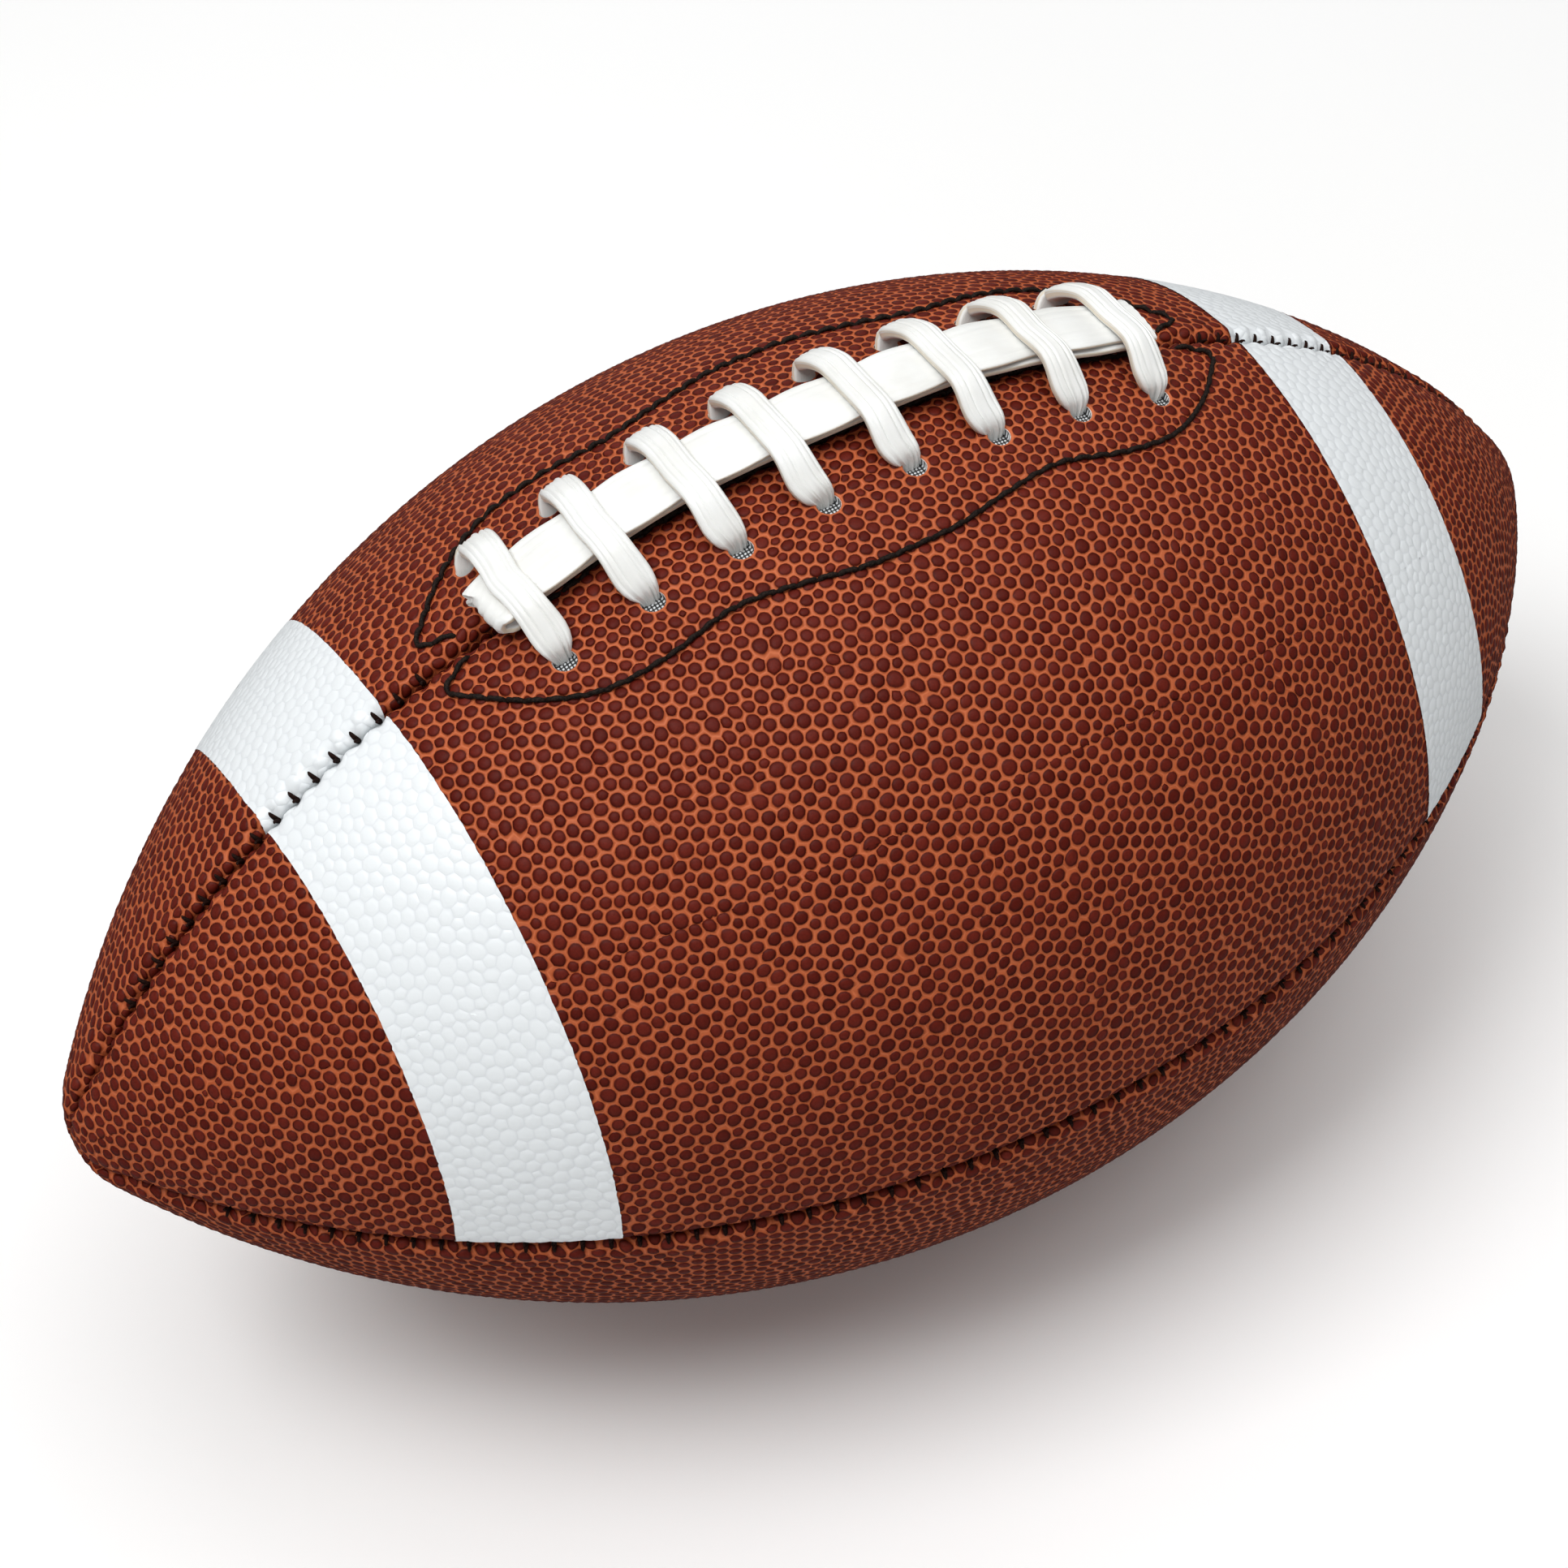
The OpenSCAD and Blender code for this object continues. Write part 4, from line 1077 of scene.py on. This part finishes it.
def cross_knots(i, width, thickness):
    """Knots of one cross lace, from inside its front hole over to inside its back hole."""
    knots = []
    for side, table, leans, heights in ((1, NEAR_SIDE, NEAR_LEANS, NEAR_LEAN_HEIGHTS),
                                        (-1, FAR_SIDE, FAR_LEANS, FAR_LEAN_HEIGHTS)):
        half = []
        for share, height, wide, thick, pleat in table:
            at = (1 - side * share) / 2
            x = hole_x(i, 1) + (hole_x(i, -1) - hole_x(i, 1)) * at + CROSS_DRIFTS[i] * (1 - share**2)
            x += leans[i] * share * float(smooth(height, *heights))
            half.append((x, side * share * HOLE_OFFSET, height, wide * width, thick * thickness,
                         pleat, 0.0, CROSS_CURL))
        knots += half[::-1] if side > 0 else half[1:]
    return knots


def bar_drift(x):
    """The long run isn't straight: it wanders a little towards the back between its cross laces."""
    return -1.0 + 0.45 * np.cos(x / 9.0) - 0.25 * np.cos(x / 21.0)


def lace_knots(sizes):
    """Knots of the whole lace: x, across, height, width, thickness, pleating, how far its width has
    turned from along the ball to across it, and how much its edges curl down."""
    flat, thin = sizes.lace_width / MM, sizes.lace_thickness / MM
    width, thick = sizes.gathered_width / MM, sizes.gathered_thickness / MM
    # it starts inside, and crosses over and back through each pair of holes
    knots = [(hole_x(0, 1), 6.0, UNDER, width, thin, 0.0, 0.0, 0.0)]
    for i in range(LACE_COUNT):
        knots += cross_knots(i, width, thick)
        if i < LACE_COUNT - 1:
            for s in (-0.4, 0.4):
                x = hole_x(i, -1) + (hole_x(i + 1, 1) - hole_x(i, -1)) * (s + 1) / 2
                knots.append((x, s * HOLE_OFFSET, UNDER, width, thin, 0.0, 0.0, 0.0))
    # from its last hole it comes up through the slit's right end and turns flat along the slit
    end = hole_x(LACE_COUNT - 1, 1) + width / 2 + thin
    knots += [
        (hole_x(LACE_COUNT - 1, -1) + 2, -6.0, UNDER, width, thin, 0.0, 0.0, 0.0),
        (end + 1.3, -1.2, UNDER, 3.2, 1.9, 0.2, 0.0, 0.0),
        (end + 2.0, 0, -3.4, 3.1, 1.9, 0.3, 0.0, 0.0),
        (end + 2.0, 0, -0.8, 3.1, 1.9, 0.4, 0.1, 0.0),
        (end + 1.2, 0, 1.2, 4.2, 1.8, 0.35, 0.5, 0.0),
        (end - 1.0, 0, 2.45, 7.0, 1.5, 0.2, 0.95, 0.0),
    ]
    # the low run, which peeks out in front of the high one in two places
    for x in np.linspace(end - 3.5, -end + 2.6, 18):
        peek = 0.9 * math.exp(-((x - 31) / 5) ** 2) + 1.2 * math.exp(-((x - 44) / 5) ** 2)
        knots.append((x, bar_drift(x) + peek, LOW_RUN, flat * 0.93, thin * 1.35, 0.0, 1.0, 0.2))
    # the fold at the left end
    for degrees in (-75, -45, -15, 15, 45, 75):
        turn = math.radians(degrees)
        out = math.cos(turn)
        height = (LOW_RUN + HIGH_RUN) / 2 + 1.0 * math.sin(turn)
        knots.append((-end + 0.9 - 1.7 * out, bar_drift(-end) + 1.2 + 0.6 * out, height,
                      11.4 - 3.0 * out**2, 1.6 + 0.5 * out, 0.4 * out, 0.95, 0.3 * out))
    # the high run, which bulges up and widens where it is free between two cross laces
    for x in np.linspace(-end + 2.6, end - 0.6, 36):
        free = 0.5 - 0.5 * math.cos(2 * math.pi * (x - hole_x(0, 1) + LACE_SLANT / 2) / LACE_PITCH)
        knots.append((x, bar_drift(x) + 0.25 * free, HIGH_RUN + 0.45 * free,
                      flat * (0.94 + 0.1 * free), thin, 0.0, 1.0, 0.35 + 0.15 * free))
    return knots


class FOOTBALL_OT_lace(bpy.types.Operator):
    """Thread the ribbed lace through its holes and along the slit"""

    bl_idname = "football.lace"
    bl_label = "Lace"

    def execute(self, context):
        sizes, colours = context.scene.ball_sizes, context.scene.ball_colours
        stations = smooth_line(lace_knots(sizes), 0.9)
        x, across, height, width, thickness, pleat, turned, crown = stations.T
        path = on_cover(x, across, height)
        lean = np.arcsin(x / SIDE_RADIUS)
        along_ball = np.stack([np.cos(lean), 0 * x, -np.sin(lean)], 1)
        turn = np.clip(turned, 0, 1)[:, None]
        _, side, up = frames_along(path, np.array([0, 1.0, 0]) * turn - along_ball * (1 - turn))
        # its ribs wander slowly, and none of its rings shrinks to nothing
        run = np.arange(len(x))
        phase = 0.7 * np.sin(run * 0.021) + 0.35 * np.sin(run * 0.13)
        sideways, upwards = lace_ring(np.maximum(width, 2.6), np.maximum(thickness, 0.9),
                                      np.clip(pleat, 0, 1), crown, phase, np.clip(turned, 0, 1))
        rings = rings_round(path, side, up, sideways, upwards)
        obj = new_object("ribbed_lace", *sweep(rings))
        lace_map(obj, rings)
        vinyl = material_of("ribbed vinyl lace", ribbed_vinyl, colours)
        face_outwards(obj)
        finish_piece(obj, [vinyl], ["lace"], smooth_angle=50)
        return {"FINISHED"}


def lace_map(obj, rings):
    """A Lace map: U goes once round the lace, and V along it in metres."""
    sides = rings.shape[1]
    along = distance_along(rings.mean(axis=1)) * MM
    corners = np.zeros(len(obj.data.loops), np.int32)
    obj.data.loops.foreach_get("vertex_index", corners)
    ring, side = corners // sides, corners % sides
    last = np.roll(corners, 1) % sides
    wraps = (side == 0) & ((last == sides - 1) | (np.roll(corners, -1) % sides == sides - 1))
    add_map(obj, "Lace", np.stack([np.where(wraps, 1.0, side / sides), along[ring]], axis=1))


# Threads

# Points round a thread, and the length in which its two plies make half a turn
THREAD_SIDES = 10
PLY_LENGTH = 1.7
# The black thread's stitches, and how far its middle sinks at each needle hole and swells over the
# cover between them
OUTLINE_STITCH = 3.1
THREAD_DIP = 0.75
THREAD_SWELL = 0.45


def twisted_thread(path, diameter):
    """A two-ply thread along a path."""
    _, side, up = frames_along(path, np.tile([0.0, 0.0, 1.0], (len(path), 1)))
    a = np.arange(THREAD_SIDES) * 2 * math.pi / THREAD_SIDES
    twist = distance_along(path) / PLY_LENGTH * math.pi
    lobes = 0.64 + 0.36 * np.abs(np.cos(a[None, :] - twist[:, None]))
    radius = diameter / 2 * lobes
    return sweep(rings_round(path, side, up, radius * np.cos(a), radius * np.sin(a)))


def stitched_line(line, side, diameter, pitch):
    """Points of a sewn line over the cover: it dips at each needle hole and rises between them."""
    run = distance_along(line)
    count = round(run[-1] / pitch)
    bulge = np.abs(np.sin(math.pi * (run / run[-1] * count)))
    height = -THREAD_DIP + (0.5 * diameter + THREAD_SWELL) * np.sqrt(bulge)
    return on_cover(line[:, 0], side * line[:, 1], height)


class FOOTBALL_OT_threads(bpy.types.Operator):
    """Sew the black stitching round the lacing and along the slit"""

    bl_idname = "football.threads"
    bl_label = "Stitching"

    def execute(self, context):
        sizes, colours = context.scene.ball_sizes, context.scene.ball_colours
        black = material_of("waxed black thread", waxed_thread, colours)
        diameter = sizes.thread / MM
        # the slit's stitching: x, and how far it runs inwards of its offset at the ends
        reach = hole_x(LACE_COUNT - 1, 1) + 4.4
        slit_line = smooth_line([(x, SLIT_STITCH_OFFSET - inwards) for x, inwards in (
            (-reach, 0), (-44, 0.3), (-38, 1.4), (0, 1.5), (38, 1.4), (44, 0.3), (reach, 0))], 0.4)
        for side_name, side in SIDES.items():
            for line, name in ((outline_line(0.4), "outline_stitch_"), (slit_line, "slit_stitch_")):
                points = stitched_line(line, side, diameter, OUTLINE_STITCH)
                obj = new_object("thread_" + name + side_name, *twisted_thread(points, diameter))
                face_outwards(obj)
                finish_piece(obj, [black], [name + side_name], smooth_angle=50)
        return {"FINISHED"}


# Seams

# Each line of seam stitches: its turn round the ball, the end of the ball that it keeps to, and how far
# from the middle it starts
SEAMS = {
    "top_left": (TOP, -1, SLIT_HALF_LENGTH + 4), "top_right": (TOP, 1, SLIT_HALF_LENGTH + 4),
    "front": (FRONT, 0, 0), "back": (BACK, 0, 0), "bottom": (BOTTOM, 0, 0),
}
# The last stitches lie this far from the middle
SEAM_STITCHES_END = 132.0
# Half of a stitch, from the groove out into the leather: place across the seam, height and radius
HALF_STITCH = [
    (0.12, -1.8, 0.45), (0.45, -0.95, 0.4), (0.75, -0.5, 0.33), (1.0, -0.3, 0.24), (1.25, -0.3, 0.12),
]
# A stitch is pressed flatter than it is wide
STITCH_FLATNESS = 0.7


class FOOTBALL_OT_seams(bpy.types.Operator):
    """Sew the seam stitches that show in the grooves between the panels"""

    bl_idname = "football.seams"
    bl_label = "Seam stitches"

    def execute(self, context):
        brown = material_of("waxed seam twine", seam_twine)
        count = int(arc_at(SEAM_STITCHES_END) / STITCH_PITCH)
        for name, (turn, only_side, start) in SEAMS.items():
            parts = []
            for k in range(-count, count + 1):
                t = (k + 0.5) * STITCH_PITCH
                x = float(profile(np.array(t))[0])
                if start <= abs(x) <= SEAM_STITCHES_END and x * only_side >= 0:
                    parts.append(seam_stitch(t, turn))
            obj = new_object("seam_stitches_" + name, *joined(parts))
            finish_piece(obj, [brown], ["seam_thread_" + name])
        return {"FINISHED"}


def seam_stitch(t, turn):
    """One stitch: a thread that comes up over one rolled edge, dives into the groove and comes up
    over the other, thinning where it sinks into the leather."""
    x, r, lean = (float(v) for v in profile(np.array(t)))
    knots = [(-across, height, radius) for across, height, radius in HALF_STITCH[::-1]] + HALF_STITCH
    across, height, radius = np.array(knots).T
    path = place(x, r, lean, turn + across / r, height)
    tangent = np.tile([math.cos(lean), 0.0, -math.sin(lean)], (len(path), 1))
    _, side, up = frames_along(path, tangent)
    a = np.arange(6) * math.pi / 3
    radius = radius[:, None]
    return sweep(rings_round(path, side, up, radius * np.cos(a), STITCH_FLATNESS * radius * np.sin(a)))


# Inner pieces keep their CAD solids

class FOOTBALL_OT_inner(bpy.types.Operator):
    """Dress the inner pieces, which keep their CAD solids"""

    bl_idname = "football.inner"
    bl_label = "Linings, bladder and valve"

    def execute(self, context):
        cotton = woven_cloth("woven cotton lining", 0.5, linear("CDBE9C"), linear("8A7A5A"))
        duck = bpy.data.materials["woven nylon reinforcement"]
        coated, butyl, valve, plug = coated_sheet(), butyl_rubber(), valve_rubber(), plug_rubber()
        dress = {
            "lining_upper_front": cotton, "lining_upper_back": cotton, "lining_lower_front": cotton,
            "lining_lower_back": cotton, "lace_patch_front": duck, "lace_patch_back": duck,
            "tongue": coated, "bladder": butyl, "valve_body": valve, "valve_plug": plug,
            "valve_patch": duck,
        }
        for node, material in dress.items():
            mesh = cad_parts[node].data
            mesh.materials.clear()
            mesh.materials.append(material)
        return {"FINISHED"}


# Stage

# Softboxes: place and width in metres, and power in watts
SOFTBOXES = {
    "key_softbox": ((-0.5, 0.0, 1.25), 0.6, 10),
    "overhead_softbox": ((0.4, -0.1, 1.5), 1.4, 12),
    "front_softbox": ((-0.9, -1.3, 0.9), 1.4, 3.3),
    "back_softbox": ((0.2, 1.3, 0.7), 1.2, 2.5),
}
# The camera that the photograph's outline, seams, stripes and lace holes were fitted with: its place
# in metres from the ball's middle, its turn in degrees, and its focal length in widths of the frame
CAMERA_PLACE = (-0.129258, -0.246298, 0.327260)
CAMERA_TURN = (40.091663, 3.457894, -29.444816)
FOCAL_WIDTHS = 3000.84 / 1932
SENSOR_WIDTH = 36.0


class FOOTBALL_OT_stage(bpy.types.Operator):
    """Lay the floor, hang the lights and set the camera where the photograph was taken"""

    bl_idname = "football.stage"
    bl_label = "Stage"

    def execute(self, context):
        self.floor()
        for name, softbox in SOFTBOXES.items():
            self.light(name, *softbox)
        world = bpy.data.worlds.new("studio_air")
        world.use_nodes = True
        sky = world.node_tree.nodes["Background"]
        sky.inputs["Color"].default_value = (1.0, 1.0, 1.0, 1.0)
        sky.inputs["Strength"].default_value = 0.2
        context.scene.world = world
        context.scene.view_settings.view_transform = "Standard"
        self.camera(context)
        return {"FINISHED"}

    def floor(self):
        """A sheet of white studio paper, very slightly uneven in tone."""
        bpy.ops.object.select_all(action="DESELECT")
        bpy.ops.mesh.primitive_plane_add(size=6, location=(0, 0, 0))
        floor = bpy.context.object
        floor.name = "studio_floor"
        paper, tree, bsdf = new_material("white studio paper", 0.9)
        at = add_node(tree, "ShaderNodeTexCoord")
        cloud = add_node(tree, "ShaderNodeTexNoise", {"Scale": 3.0}, {"Vector": at.outputs["Object"]})
        tone = add_node(tree, "ShaderNodeValToRGB",
                        {"stops": [(0.3, linear("F8F8F7")), (0.7, linear("FAFAFA"))]},
                        {0: cloud.outputs["Fac"]})
        tree.links.new(tone.outputs[0], bsdf.inputs["Base Color"])
        floor.data.materials.append(paper)
        # the sheen on the ball's underside mirrors the dim room and not the bright floor
        floor.visible_glossy = False

    def light(self, name, location, size, power):
        """A square softbox that faces the middle of the ball."""
        bpy.ops.object.light_add(type="AREA", location=location)
        lamp = bpy.context.object
        lamp.name = name
        lamp.data.size = size
        lamp.data.energy = power
        target = Vector((0, 0, BALL_RADIUS * MM))
        lamp.rotation_euler = (target - Vector(location)).to_track_quat("-Z", "Y").to_euler()

    def camera(self, context):
        """The camera in the photograph's place."""
        location = Vector(CAMERA_PLACE) + Vector((0, 0, BALL_RADIUS * MM))
        rotation = [math.radians(v) for v in CAMERA_TURN]
        bpy.ops.object.camera_add(location=location, rotation=rotation)
        camera = bpy.context.object
        camera.name = "photograph_camera"
        camera.data.sensor_width = SENSOR_WIDTH
        camera.data.lens = FOCAL_WIDTHS * SENSOR_WIDTH
        camera.data.clip_start = 0.01
        context.scene.camera = camera


OPERATORS = (
    FOOTBALL_OT_panels, FOOTBALL_OT_stripes, FOOTBALL_OT_lace, FOOTBALL_OT_threads,
    FOOTBALL_OT_seams, FOOTBALL_OT_inner, FOOTBALL_OT_stage,
)


class FOOTBALL_PT_sidebar(bpy.types.Panel):
    """Sizes, colours and steps of the football"""

    bl_idname = "FOOTBALL_PT_sidebar"
    bl_label = "American football"
    bl_space_type = "VIEW_3D"
    bl_region_type = "UI"
    bl_category = "Football"

    def draw(self, context):
        for group in (context.scene.ball_sizes, context.scene.ball_colours):
            for key in group.__annotations__:
                self.layout.prop(group, key)
        for operator in OPERATORS:
            self.layout.operator(operator.bl_idname)


CLASSES = (BallSizes, BallColours, *OPERATORS, FOOTBALL_PT_sidebar)


def register():
    for c in CLASSES:
        bpy.utils.register_class(c)
    bpy.types.Scene.ball_sizes = bpy.props.PointerProperty(type=BallSizes)
    bpy.types.Scene.ball_colours = bpy.props.PointerProperty(type=BallColours)


def unregister():
    del bpy.types.Scene.ball_colours
    del bpy.types.Scene.ball_sizes
    for c in reversed(CLASSES):
        bpy.utils.unregister_class(c)


def main():
    register()
    for operator in OPERATORS:
        group, name = operator.bl_idname.split(".")
        getattr(getattr(bpy.ops, group), name)()


if __name__ == "__main__":
    main()
